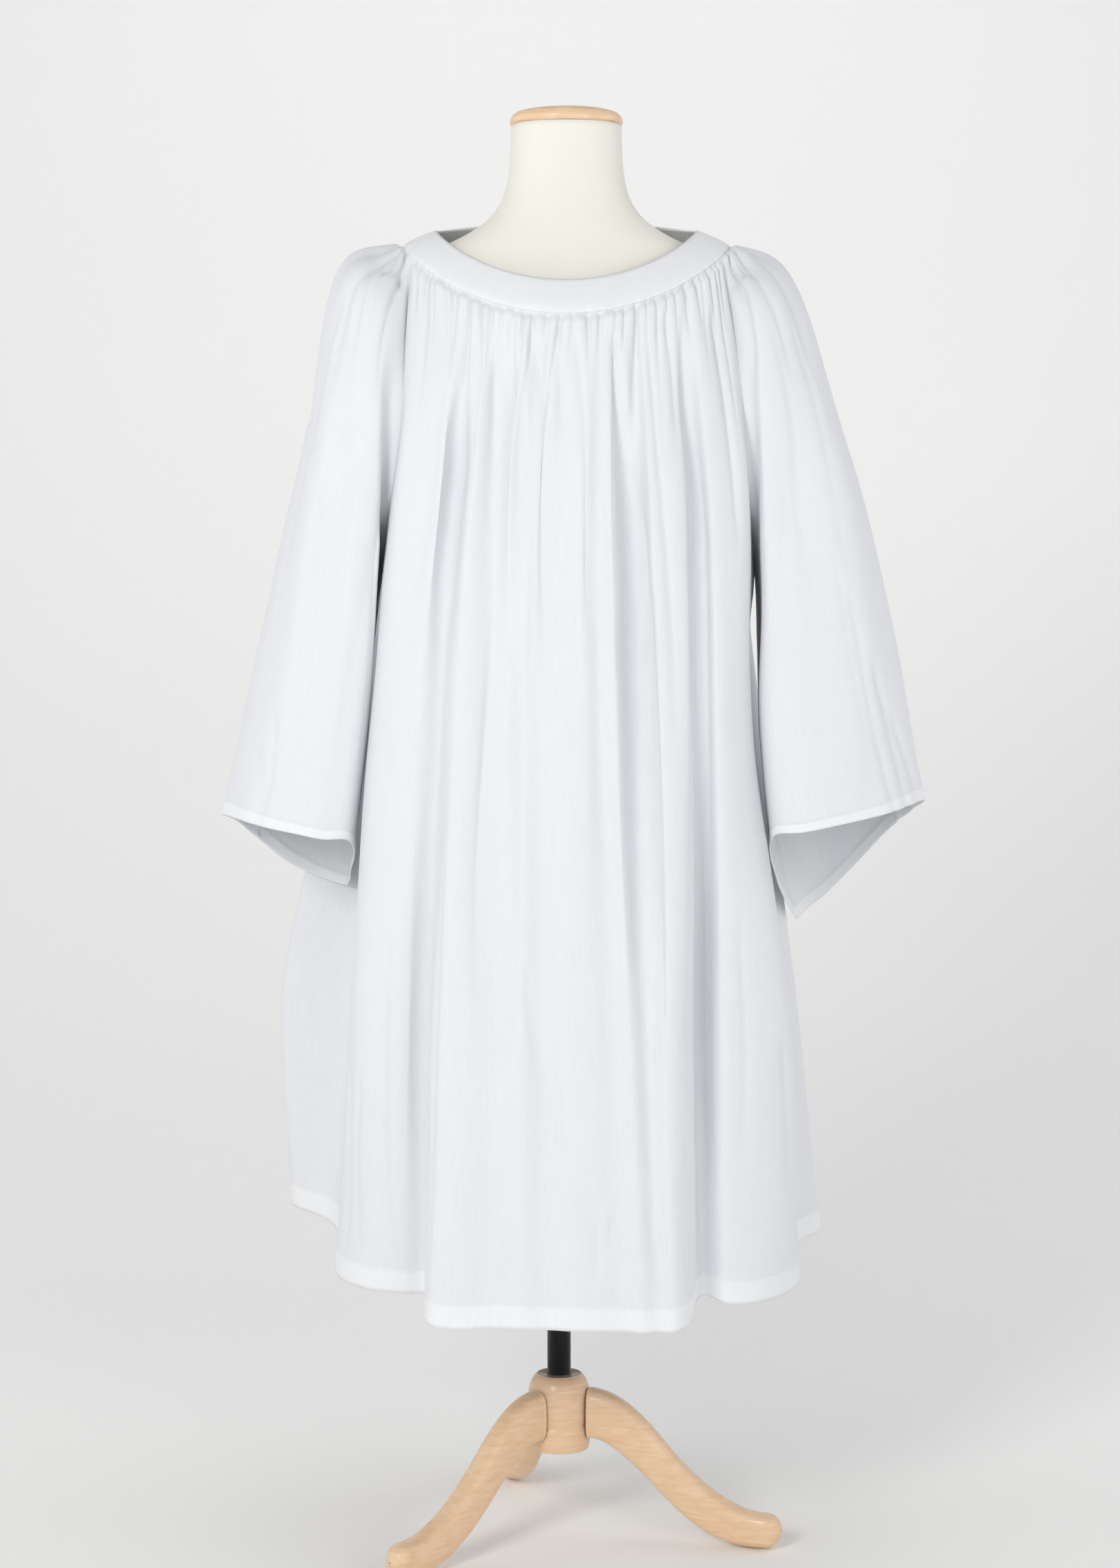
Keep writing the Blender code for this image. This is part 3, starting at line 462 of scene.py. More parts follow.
def run_along(grid, axis):
    """The distance run along a grid's columns or rows, from its first."""
    step = np.linalg.norm(np.diff(grid, axis=axis), axis=2)
    return np.insert(np.cumsum(step, axis=axis), 0, 0.0, axis=axis)


def ease(x):
    """Rises smoothly from 0 at 0 to 1 at 1: x squared times 3 minus 2x."""
    x = np.clip(x, 0.0, 1.0)
    return x * x * (3 - 2 * x)


# ---- Gathers and creases -------------------------------------------------------------------------
# The front, back and sleeve heads are drawn up on two threads to about half their width before the yoke goes
# on. That leaves a tight fan of short puckers under the yoke, and the long folds start from the deepest.
GATHER_STEP = (8.0, 17.0)  # least and most from one notch to the next, mm
GATHER_DEPTH = (2.3, 3.6)  # depth for each mm of half width
GATHER_WIDTH = (1.3, 2.9)
SHORT_NOTCH, LONG_NOTCH = (28.0, 70.0), (90.0, 240.0)
LONG_SHARE = 0.34  # how many notches are long ones
GATHER_SWELL = 6.0  # how far the cloth stands out between the notches
SWELL_REACH = 75.0  # how far down the swelling goes
MOUTH, MOUTH_REACH = 0.7, 8.0  # how much wider a notch is at the seam, and how far down
NOTCH_SPREAD = 90.0  # how far down a notch is twice as wide
NOTCH_LEAN = 0.06  # the most a notch drifts sideways for each mm down
CREASE_STEPS = 47  # steps along the path of a crease
UNREST = 2.2 * MM  # height of the slow unevenness
SEAM_REST = 14 * MM  # the cloth lies quiet this close to a side seam
TORSO_CLEAR = 4 * MM  # no fold comes nearer to the dress form than this


def gathers(grid, seed):
    """How far each point is pushed in by the gathers. The cloth swells out just below the seam, and narrow
    notches hold it in: depth over 1 plus the square of the distance over the half width. Each one fades out
    over its own length."""
    chance = np.random.default_rng(seed)
    top = run_along(grid[:, :1], 0)[:, 0] / MM
    down = run_along(grid, 1) / MM
    centres = np.cumsum(chance.uniform(*GATHER_STEP, 200))
    push = -GATHER_SWELL * ease(down / MOUTH_REACH) * np.exp(-((down / SWELL_REACH) ** 1.4))
    for centre in centres[centres < top[-1] - 3]:
        long = chance.random() < LONG_SHARE
        length = chance.uniform(*(LONG_NOTCH if long else SHORT_NOTCH))
        width = chance.uniform(*GATHER_WIDTH)
        depth = width * chance.uniform(*GATHER_DEPTH)
        off = top[:, None] - centre - chance.uniform(-NOTCH_LEAN, NOTCH_LEAN) * down
        x = off / (width * (1 + MOUTH * np.exp(-down / MOUTH_REACH) + down / NOTCH_SPREAD))
        push += depth * (0.2 + 0.8 * ease(down / 5)) * np.exp(-((down / length) ** 1.5)) / (1 + x * x)
    return push * MM


def creases(grid, rows, facing):
    """How far each point is pushed in by creases, each a narrow trough in one three times wider. A row gives
    the depth (below 0 for a ridge), the half width where it starts and ends, how many times wider it is on
    its +X side, and the points of its path, across and up, all in mm. facing is -1 for creases that show in
    front and 1 for those behind."""
    x, z = grid[..., 0] / MM, grid[..., 2] / MM
    shows = ease(np.abs(grid_normals(grid)[..., 1]) * 3 - 0.2) * (grid[..., 1] * facing > -60 * MM)
    push = np.zeros(x.shape)
    for depth, wide_top, wide_end, skew, *points in rows:
        points = np.array(points, float)
        run = np.concatenate([[0], np.cumsum(np.linalg.norm(np.diff(points, axis=0), axis=1))])
        path = smooth_line(run, points, np.linspace(0, run[-1], CREASE_STEPS + 1))
        step = run[-1] / CREASE_STEPS
        way = np.gradient(path, axis=0)
        way /= np.linalg.norm(way, axis=1, keepdims=True)
        near = ((x[..., None] - path[:, 0]) ** 2 + (z[..., None] - path[:, 1]) ** 2).argmin(axis=-1)
        east, north = x - path[near, 0], z - path[near, 1]
        past = (east * way[near, 0] + north * way[near, 1]) / step
        share = np.clip((near + past) / CREASE_STEPS, 0, 1)
        off = north * way[near, 0] - east * way[near, 1]
        width = (wide_top + (wide_end - wide_top) * share) * np.where(off > 0, skew, 1.0)
        shape = 0.65 / (1 + (off / width) ** 2) ** 1.5 + 0.35 / (1 + (off / (3 * width)) ** 2) ** 1.5
        push += depth * ease(share / 0.1) * ease((1 - share) / 0.35) * shape
    return push * shows * MM


def unrest(grid, seed):
    """Slow unevenness: the sum of ten flat waves of random direction, 60 to 240 mm long."""
    chance = np.random.default_rng(seed)
    across, down = run_along(grid, 0), run_along(grid, 1)
    total = np.zeros(grid.shape[:2])
    for _ in range(10):
        length = chance.uniform(0.06, 0.24)
        turn = chance.uniform(-0.9, 0.9)
        phase = chance.uniform(0, 2 * math.pi)
        along = across * math.cos(turn) + down * math.sin(turn) * 0.5
        total += np.sin(2 * math.pi / length * along + phase)
    return total / 10 * UNREST


def room(grid):
    """How far each point stands off the torso, measured towards the neck's axis: its distance from the axis,
    less that distance over f, where f is 1 on the torso's own section at that height."""
    rows = np.array(TORSO_SECTIONS, float) * MM
    x, y, z = grid[..., 0], grid[..., 1] - NECK_Y, grid[..., 2]
    wide = np.interp(z, rows[:, 0], rows[:, 1])
    reach = np.where(y < 0, np.interp(z, rows[:, 0], rows[:, 2]), np.interp(z, rows[:, 0], rows[:, 3]))
    power = TORSO_SQUARENESS
    f = (np.abs(x / wide) ** power + np.abs(y / reach) ** power) ** (1 / power)
    return np.where(z > rows[0, 0], np.hypot(x, y) * (1 - 1 / f), 1.0)


def drape(grid, seed, in_front=(), behind=(), outward=1):
    """A panel's grid with its gathers, creases and unevenness pushed in, all quiet at its seams."""
    across = run_along(grid, 0)
    side = np.minimum(across, across[-1:] - across)
    push = gathers(grid, seed) + unrest(grid, seed + 50) * ease(run_along(grid, 1) / 0.05)
    push += creases(grid, in_front, -1) + creases(grid, behind, 1)
    push = np.minimum(push, np.maximum(room(grid) - TORSO_CLEAR, 0))
    return grid - grid_normals(grid) * outward * (push * ease(side / SEAM_REST))[:, :, None]


# depth, half width at the start and end, times wider on the +X side, then the path
FRONT_CREASES = (
    (17.0, 5, 18, 0.6, (-110, 1275), (-114, 1198), (-123, 1097), (-133, 976), (-147, 748), (-153, 570),
     (-150, 260)),
    (12.0, 5, 15, 2.2, (-76, 1340), (-74, 1256), (-76, 1133), (-81, 940), (-92, 726), (-83, 520)),
    (-4.5, 5, 9, 0.6, (-42, 1335), (-40, 1212), (-42, 1060), (-44, 880)),
    (7.5, 5, 12, 1.6, (-36, 1330), (-25, 1227), (-24, 1083), (-22, 900)),
    (15.0, 8, 19, 0.4, (44, 1335), (60, 1234), (72, 1133), (84, 940), (94, 776), (108, 478)),
    (-3.9, 5, 10, 1.0, (52, 1335), (68, 1220), (80, 1060), (92, 860), (104, 620)),
    (12.5, 4, 11, 0.7, (119, 1345), (129, 1234), (137, 1141), (143, 940), (143, 726), (142, 443), (137, 250)),
    (6.8, 3, 6, 1.0, (152, 1345), (167, 1256), (179, 1162), (184, 1060)),
    (3.4, 5, 14, 1.3, (-131, 1275), (-143, 1169), (-157, 1069), (-169, 880)),
    (4.5, 4, 8, 1.0, (7, 1330), (18, 1227), (22, 1112), (24, 960)),
    (3.2, 4, 9, 1.2, (-95, 1335), (-99, 1227), (-104, 1112), (-110, 950)),
    (5.1, 4, 11, 0.8, (84, 1330), (99, 1162), (111, 1026), (117, 820)),
    (3.9, 3, 6, 1.0, (-58, 1335), (-60, 1262), (-58, 1190)),
    (3.9, 3, 6, 1.0, (-8, 1330), (-6, 1262), (0, 1190)),
    (4.5, 3, 6, 1.0, (102, 1340), (113, 1270), (118, 1180)),
    (3.3, 6, 12, 1.0, (-60, 1000), (-63, 860), (-58, 700), (-60, 560)),
    (2.7, 7, 12, 1.0, (36, 900), (46, 760), (60, 600), (62, 470)),
    (3.3, 5, 5, 1.0, (-100, 334), (-76, 332), (-56, 362), (-44, 400)),
    (3.0, 5, 6, 1.8, (-44, 660), (-33, 584), (-15, 520), (-6, 455), (6, 417), (34, 376)),
    (2.4, 5, 5, 1.0, (-88, 462), (-64, 420)),
    (2.7, 5, 6, 1.0, (14, 420), (31, 387), (26, 310)),
    (2.4, 4, 5, 1.0, (42, 388), (78, 372)),
    (3.0, 5, 8, 1.0, (85, 400), (112, 300)),
    (3.0, 3, 4, 1.0, (-236, 590), (-234, 500), (-236, 380), (-240, 290)),
    (3.0, 3, 4, 1.0, (-222, 528), (-226, 429), (-220, 330)),
    (3.6, 4, 5, 1.4, (-186, 680), (-189, 513), (-184, 330)),
    (3.6, 4, 6, 1.0, (232, 570), (238, 478), (240, 380)),
    (3.0, 5, 8, 1.0, (184, 700), (190, 560), (186, 400)),
)
BACK_CREASES = (
    (7.7, 4, 12, 0.9, (-116, 1345), (-126, 1180), (-140, 980), (-152, 740), (-168, 480)),
    (7.7, 4, 12, 1.6, (-66, 1360), (-70, 1200), (-76, 980), (-86, 760), (-92, 430)),
    (-3.6, 5, 10, 1.0, (-44, 1350), (-48, 1200), (-52, 1000), (-58, 800)),
    (5.0, 4, 9, 1.0, (-22, 1370), (-20, 1230), (-18, 1060), (-16, 880)),
    (8.4, 4, 11, 0.7, (38, 1365), (41, 1200), (43, 1000), (48, 760), (52, 380)),
    (7.7, 4, 12, 1.0, (88, 1355), (104, 1200), (128, 1000), (150, 760), (172, 420)),
    (6.3, 4, 9, 1.4, (130, 1350), (150, 1190), (174, 960), (212, 700)),
    (4.2, 4, 9, 1.0, (8, 1370), (10, 1250), (14, 1120), (16, 960)),
    (4.5, 4, 9, 1.0, (64, 1365), (72, 1260), (82, 1130), (92, 960)),
    (4.5, 4, 9, 1.0, (-92, 1355), (-100, 1240), (-112, 1090), (-118, 920)),
    (3.6, 3, 6, 1.0, (-142, 1345), (-150, 1260), (-158, 1170)),
    (3.1, 5, 6, 1.5, (-30, 700), (-18, 590), (6, 500), (14, 430)),
    (2.5, 5, 5, 1.0, (96, 470), (120, 420), (130, 360)),
    (2.8, 5, 6, 1.0, (-130, 520), (-116, 440), (-126, 360)),
)
LEFT_SLEEVE_CREASES = (
    (5.0, 4, 7, 1.0, (172, 1400), (188, 1359), (194, 1316), (198, 1250)),
    (4.5, 4, 8, 1.2, (184, 1405), (211, 1362), (232, 1316), (244, 1250)),
    (4.0, 4, 9, 1.2, (196, 1410), (226, 1380), (254, 1330), (272, 1240)),
    (2.8, 5, 10, 1.0, (215, 1340), (240, 1229), (249, 1120), (258, 1000)),
    (3.0, 6, 12, 0.8, (239, 1345), (265, 1258), (290, 1130), (312, 980)),
    (3.8, 8, 10, 1.6, (222, 1190), (236, 1130), (228, 1060), (218, 960)),
    (4.0, 5, 5, 1.0, (303, 1050), (329, 901), (350, 820), (362, 740)),
    (5.0, 4, 4, 1.0, (328, 970), (355, 871), (368, 816), (380, 740)),
    (4.5, 3, 4, 0.8, (352, 910), (374, 849), (384, 816), (396, 750)),
    (2.5, 6, 9, 1.0, (288, 1080), (307, 952), (321, 879), (330, 780)),
)
RIGHT_SLEEVE_CREASES = (
    (5.0, 4, 9, 1.0, (-186, 1408), (-226, 1372), (-247, 1301), (-258, 1220)),
    (5.0, 4, 8, 0.8, (-172, 1410), (-204, 1388), (-222, 1340), (-230, 1270)),
    (4.5, 4, 7, 1.0, (-164, 1400), (-180, 1359), (-194, 1300), (-198, 1230)),
    (4.2, 5, 10, 1.0, (-196, 1415), (-240, 1396), (-258, 1350), (-268, 1290)),
    (3.2, 7, 14, 1.0, (-239, 1373), (-259, 1301), (-285, 1200), (-304, 1050)),
    (4.0, 4, 8, 1.0, (-156, 1385), (-166, 1280), (-173, 1180), (-182, 1080)),
    (3.8, 9, 16, 1.5, (-196, 1120), (-216, 1010), (-236, 890), (-250, 740)),
    (2.8, 10, 14, 1.0, (-250, 1180), (-268, 1040), (-290, 900), (-300, 760)),
    (3.0, 5, 5, 1.0, (-340, 880), (-328, 836), (-338, 790), (-344, 730)),
    (3.2, 4, 5, 1.0, (-312, 920), (-318, 840), (-330, 790), (-334, 720)),
)
SLEEVE_BACK_CREASES = (
    (4.2, 4, 8, 1.0, (178, 1405), (204, 1360), (222, 1290), (236, 1200)),
    (4.2, 4, 8, 1.0, (168, 1395), (184, 1340), (196, 1260), (206, 1180)),
    (3.8, 6, 12, 1.0, (226, 1360), (252, 1240), (276, 1100), (296, 940)),
    (3.8, 7, 12, 1.0, (204, 1180), (228, 1040), (252, 900), (272, 740)),
    (3.0, 6, 8, 1.0, (292, 1000), (306, 900), (318, 800), (322, 720)),
)


# ---- Shells --------------------------------------------------------------------------------------
# Neighbouring pieces are sewn edge to edge. Each seam's points have one normal for both pieces, so the two
# walls meet at a mitre.
SAME_POINT = 0.02 * MM  # points this close are one point of a seam
PINCH_REACH = 0.1 * MM
MITRE_LIMIT = 0.6  # least cosine that a mitre is worked out for


def seam_normals(grids, own, pinches):
    """Normals of all the pieces: where points of two pieces coincide, the sum of both. At a pinch, which is
    the underarm, the shared normal is straight down."""
    points = np.concatenate([grid.reshape(-1, 3) for grid in grids])
    total = np.concatenate([normal.reshape(-1, 3) for normal in own])
    _, place = np.unique(np.round(points / SAME_POINT).astype(np.int64), axis=0, return_inverse=True)
    place = place.ravel()
    shared = np.zeros((place.max() + 1, 3))
    np.add.at(shared, place, total)
    shared = shared[place]
    for pinch in pinches:
        shared[np.linalg.norm(points - pinch, axis=1) < PINCH_REACH] = (0, 0, -1)
    shared /= np.maximum(np.linalg.norm(shared, axis=1, keepdims=True), 1e-9)
    sizes = np.cumsum([grid.shape[0] * grid.shape[1] for grid in grids])[:-1]
    return [part.reshape(grid.shape) for part, grid in zip(np.split(shared, sizes), grids)]


def to_face(own, shared, thick):
    """The step from a grid to the outer face of its wall: half its thickness along the grid's own normals."""
    return shared * (thick / 2 / np.maximum((own * shared).sum(axis=2, keepdims=True), MITRE_LIMIT))


def shell(name, grid, own, shared, thick, layers, uv, joined_from=None, ring=False):
    """A closed wall on both sides of a grid. Its first and last columns are one from the row joined_from on,
    and all the way with ring. layers is the attribute that tells doubled cloth from single."""
    columns, rows = grid.shape[:2]
    step = to_face(own, shared, thick[:, :, None])
    points = np.concatenate([(grid + step).reshape(-1, 3), (grid - step).reshape(-1, 3)])
    number = np.arange(columns * rows).reshape(columns, rows)
    free = rows if joined_from is None else joined_from
    if ring:
        number, free = np.concatenate([number, number[:1]]), 0
    else:
        number[-1, free:] = number[0, free:]
    other = number + columns * rows

    def quads(a, b, c, d):
        return np.stack([a, b, c, d], axis=-1).reshape(-1, 4)

    faces = [
        quads(number[:-1, :-1], number[:-1, 1:], number[1:, 1:], number[1:, :-1]),
        quads(other[:-1, :-1], other[1:, :-1], other[1:, 1:], other[:-1, 1:]),
        quads(number[:-1, 0], number[1:, 0], other[1:, 0], other[:-1, 0]),
        quads(number[:-1, -1], other[:-1, -1], other[1:, -1], number[1:, -1]),
    ]
    if free > 0 and not ring:
        stop = min(free, rows - 1)
        here, below = slice(0, stop), slice(1, stop + 1)
        faces.append(quads(number[0, here], other[0, here], other[0, below], number[0, below]))
        faces.append(quads(number[-1, here], number[-1, below], other[-1, below], other[-1, here]))
    faces = np.concatenate(faces)
    used, faces = np.unique(faces, return_inverse=True)
    faces = faces.reshape(-1, 4)
    obj = new_object(name, points[used], faces.tolist())
    uv = np.tile(uv.reshape(-1, 2), (2, 1))[used][faces.ravel()]
    obj.data.uv_layers.new(name="cut").uv.foreach_set("vector", uv.astype(np.float32).ravel())
    layers = np.tile(layers.ravel(), 2)[used].astype(np.float32)
    obj.data.attributes.new("doubled", "FLOAT", "POINT").data.foreach_set("value", layers)
    return obj


HEM_SHARE = 0.0235  # of each piece's length: 27 mm deep on the body, 18 mm on the sleeves
HEM_STEP = 0.0012  # how soon below its upper edge the hem has its full thickness
LOW_SHARE = 0.74  # from here on the rows are closer together
ROWS_ABOVE, ROWS_MIDDLE, ROWS_LOW, ROWS_HEM = 34, 22, 24, 6


def row_shares():
    """Row shares from the yoke to the hem: close together under the yoke, one on the underarm, and a pair at
    the hem's upper edge, so that it shows as a step."""
    above = UNDERARM_SHARE * np.linspace(0, 1, ROWS_ABOVE) ** 1.6
    middle = np.linspace(UNDERARM_SHARE, LOW_SHARE, ROWS_MIDDLE + 1)[1:]
    low = np.linspace(LOW_SHARE, 1 - HEM_SHARE, ROWS_LOW + 1)[1:]
    hem = np.linspace(1 - HEM_SHARE, 1, ROWS_HEM)[1:]
    return np.concatenate([above, middle, low, [1 - HEM_SHARE + HEM_STEP], hem])


def polycotton():
    """Plain-woven white polyester and cotton, calendered: matt, with a faint sheen. The warp runs down the
    piece. Threads are 0.3 mm apart, drawn at 1.1 mm so that they show. Slubs about 40 mm long and 2 mm wide
    run with the warp."""
    made, tree, shader = new_material("white_polycotton", 0.82, Sheen_Weight=0.12, Sheen_Roughness=0.45)
    cut = add_node(tree, "ShaderNodeUVMap", {"uv_map": "cut"}).outputs[0]
    warp, weft = (
        add_node(tree, "ShaderNodeTexWave", {"bands_direction": way}, Vector=cut, Scale=285.0, Distortion=0.8,
                 Detail=1.0, Detail_Scale=0.6)
        for way in "XY"
    )
    slub_place = add_node(tree, "ShaderNodeMapping", Vector=cut, Scale=(520.0, 26.0, 1.0)).outputs[0]
    slubs = add_node(tree, "ShaderNodeTexNoise", Vector=slub_place, Scale=1.0, Detail=3.0, Roughness=0.65)
    doubled = add_node(tree, "ShaderNodeAttribute", {"attribute_name": "doubled"}).outputs["Fac"]
    white = add_node(tree, "ShaderNodeMix", {"data_type": "RGBA"}, i0=doubled, i6=linear("#E4E6EA"),
                     i7=linear("#ECEEF1"))
    thread = add_node(tree, "ShaderNodeMapRange", Value=slubs.outputs["Fac"], i1=0.35, i2=0.7, i3=0.965,
                      i4=1.0)
    shade = add_node(tree, "ShaderNodeVectorMath", {"operation": "SCALE"}, Vector=white.outputs[2],
                     Scale=thread.outputs[0])
    tree.links.new(shade.outputs[0], shader.inputs["Base Color"])
    weave = add_node(tree, "ShaderNodeMath", {"operation": "MULTIPLY"}, i0=warp.outputs["Fac"],
                     i1=weft.outputs["Fac"])
    relief = add_node(tree, "ShaderNodeMath", {"operation": "MULTIPLY_ADD"}, i0=slubs.outputs["Fac"],
                      i1=1.6, i2=weave.outputs[0])
    bump = add_node(tree, "ShaderNodeBump", Height=relief.outputs[0], Strength=0.22, Distance=0.12 * MM)
    tree.links.new(bump.outputs[0], shader.inputs["Normal"])
    return made


# ---- Front, back, sleeves and yoke ---------------------------------------------------------------
# Each panel is worked out as one grid from its fold lines. Then all five are given their walls together.
at_all = row_shares()  # the seams need the same shares in every piece


def panel(folds, first, last, count):
    """A panel's grid of about count columns, from its fold lines and the seams at its first and last edge."""
    lines = np.array([first, *folds, last])
    return across_lines(lines, even_spots(lines, count))


def front_seam(rows, mirrored):
    """A seam that starts where a sleeve and the front meet at the yoke."""
    return seam_line(-SLEEVE_HEAD_DEG, rows, mirrored, at_all)


def back_seam(rows, mirrored):
    """A seam that starts where a sleeve and the back meet at the yoke."""
    return seam_line(SLEEVE_HEAD_DEG, rows, mirrored, at_all)


front = panel(
    [body_fold(row, at_all) for row in FRONT_FOLDS],
    front_seam(RIGHT_FRONT_RAGLAN + RIGHT_SIDE_SEAM, True),
    front_seam(LEFT_FRONT_RAGLAN + LEFT_SIDE_SEAM, False), 500)
back = panel(
    [body_fold(row, at_all) for row in BACK_FOLDS],
    back_seam(LEFT_BACK_RAGLAN + LEFT_SIDE_SEAM, False),
    back_seam(RIGHT_BACK_RAGLAN + RIGHT_SIDE_SEAM, True), 480)
left_sleeve = panel(
    [sleeve_fold(row, False, at_all) for row in LEFT_SLEEVE_FOLDS],
    front_seam(LEFT_FRONT_RAGLAN + LEFT_SLEEVE_SEAM, False),
    back_seam(LEFT_BACK_RAGLAN + LEFT_SLEEVE_SEAM, False), 210)
right_sleeve = panel(
    [sleeve_fold(row, True, at_all) for row in RIGHT_SLEEVE_FOLDS],
    front_seam(RIGHT_FRONT_RAGLAN + RIGHT_SLEEVE_SEAM, True),
    back_seam(RIGHT_BACK_RAGLAN + RIGHT_SLEEVE_SEAM, True), 210)
gather_line = [grid[:, 0].copy() for grid in (front, left_sleeve, back, right_sleeve)]

mirrored_rows = [row[:4] + tuple((-x, z) for x, z in row[4:]) for row in SLEEVE_BACK_CREASES]
front = drape(front, 11, in_front=FRONT_CREASES)
back = drape(back, 12, behind=BACK_CREASES)
left_sleeve = drape(left_sleeve, 13, LEFT_SLEEVE_CREASES, SLEEVE_BACK_CREASES)
right_sleeve = drape(right_sleeve, 14, RIGHT_SLEEVE_CREASES, mirrored_rows, outward=-1)


def ring_of(front, left_sleeve, back, right_sleeve):
    """The top edges of the four panels as one ring, the right sleeve's turned round."""
    return np.concatenate([front[:-1], left_sleeve[:-1], back[:-1], right_sleeve[:0:-1]])


def yoke_grid():
    """The yoke: from the neckline straight out to the gathering line, with a slight crown. Its last row is
    the panels' own top edges, puckers and all, which fade out within the last few millimetres."""
    smooth = ring_of(*gather_line)
    puckered = ring_of(front[:, 0], left_sleeve[:, 0], back[:, 0], right_sleeve[:, 0])
    reach = np.where(smooth[:, 1] < 0, GATHER_LINE["front"], GATHER_LINE["back"])
    degrees = np.degrees(np.arctan2(smooth[:, 1] / reach, smooth[:, 0] / GATHER_LINE["half"]))
    inside = yoke_edge(NECKLINE, degrees)
    share = np.concatenate([np.linspace(0, 0.8, 9), [0.87, 0.92, 0.96, 1.0]])
    grid = inside[:, None] + (smooth - inside)[:, None] * share[None, :, None]
    normal = grid_normals(grid, closed=True)
    grid = grid + normal * (YOKE_CROWN * 4 * share * (1 - share))[None, :, None]
    return grid + (puckered - smooth)[:, None] * (ease((share - 0.8) / 0.2) ** 1.5)[None, :, None]


yoke = yoke_grid()
grids = [yoke, front, back, left_sleeve, right_sleeve]
own = [grid_normals(yoke, closed=True)] + [grid_normals(grid) for grid in grids[1:]]
own[4] = -own[4]
underarm_row = int(np.argmin(np.abs(at_all - UNDERARM_SHARE)))
shared = seam_normals(grids, own, (left_sleeve[0, underarm_row], right_sleeve[0, underarm_row]))


def cut_map(grid):
    """The cut's own places in metres: across by the distance at the hem, down by the distance run."""
    across = run_along(grid, 0)[:, -1:]
    return np.stack([np.broadcast_to(across, grid.shape[:2]), -run_along(grid, 1)], axis=-1)


cotton = polycotton()
yoke_thick, yoke_double = np.full(yoke.shape[:2], YOKE_CLOTH), np.ones(yoke.shape[:2])
yoke_uv = cut_map(yoke) * (1, -1)
surplice = {
    "yoke_band": shell("yoke_band", yoke, own[0], shared[0], yoke_thick, yoke_double, yoke_uv, ring=True),
}
doubled = np.broadcast_to((at_all > 1 - HEM_SHARE + 0.0005) * 1.0, (1, len(at_all)))
thick = CLOTH + (HEM_CLOTH - CLOTH) * doubled
for name, i, joined in (("front_panel", 1, None), ("back_panel", 2, None),
                        ("left_sleeve", 3, underarm_row), ("right_sleeve", 4, underarm_row)):
    all_columns = np.ones((grids[i].shape[0], 1))
    surplice[name] = shell(name, grids[i], own[i], shared[i], thick * all_columns, doubled * all_columns,
                           cut_map(grids[i]), joined)
surplice["right_sleeve"].data.flip_normals()

for name, node_name, flat, held, area in (
    ("yoke_band", "yoke", (0.36, 0.25), "laid", 0.040),
    ("front_panel", "front", (0.95, 1.17), "gathered", 0.95),
    ("back_panel", "back", (1.14, 1.18), "gathered", 1.06),
    ("left_sleeve", "sleeve_left", (0.76, 0.80), "gathered", 0.39),
    ("right_sleeve", "sleeve_right", (0.76, 0.80), "gathered", 0.39),
):
    piece = surplice[name]
    piece.data.materials.append(cotton)
    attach(piece, "root")
    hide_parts(node_name)


# ---- Stitches ------------------------------------------------------------------------------------
# The hems are machined near their upper edge, and the yoke along both of its edges, in white core-spun
# thread. It is 0.3 mm thick, drawn at 0.45 mm so that it shows, at four stitches to the centimetre.
STITCH_STEP, STITCH_LENGTH, THREAD = 2.5 * MM, 2.1 * MM, 0.45 * MM
STITCH_SIDES = 5
STITCH_RISE = 0.3  # how far a stitch's middle stands out of the cloth, in thread thicknesses


def stitch_row(line, out):
    """Centres of stitches along a line of points, and the directions along, across and out of the cloth."""
    run = np.concatenate([[0], np.cumsum(np.linalg.norm(np.diff(line, axis=0), axis=1))])
    at = np.arange(STITCH_STEP, run[-1] - STITCH_STEP, STITCH_STEP)
    centre, ahead, out = (np.stack([np.interp(at + step, run, values[:, k]) for k in range(3)], axis=1)
                          for values, step in ((line, 0.0), (line, STITCH_LENGTH / 2), (out, 0.0)))
    along = ahead - centre
    along /= np.linalg.norm(along, axis=1, keepdims=True)
    out = out / np.linalg.norm(out, axis=1, keepdims=True)
    return centre + out * THREAD * STITCH_RISE, along, np.cross(out, along), out


def beads(rows):
    """Every stitch as a spindle: two rings of STITCH_SIDES points and a tip at each end."""
    a = np.arange(STITCH_SIDES) / STITCH_SIDES * 2 * math.pi
    ring = np.stack([np.zeros(STITCH_SIDES), np.cos(a), np.sin(a)], axis=1) * THREAD / 2
    step = np.array((STITCH_LENGTH / 2, 0, 0))
    bead = np.concatenate([[-step], ring - step * 0.6, ring + step * 0.6, [step]])
    near = np.arange(STITCH_SIDES) + 1
    near_next = np.roll(near, -1)
    far, far_next = near + STITCH_SIDES, near_next + STITCH_SIDES
    first, last = near * 0, near * 0 + 2 * STITCH_SIDES + 1
    corners = ((first, near_next, near), (near, near_next, far_next), (near, far_next, far),
               (far, far_next, last))
    sides = np.concatenate([np.stack(three, axis=1) for three in corners])
    centre, along, across, out = (np.concatenate(parts) for parts in zip(*rows))
    points = centre[:, None] + sum(
        bead[None, :, k : k + 1] * way[:, None] for k, way in enumerate((along, across, out)))
    faces = sides[None] + (np.arange(len(centre)) * len(bead))[:, None, None]
    return points.reshape(-1, 3), faces.reshape(-1, 3)


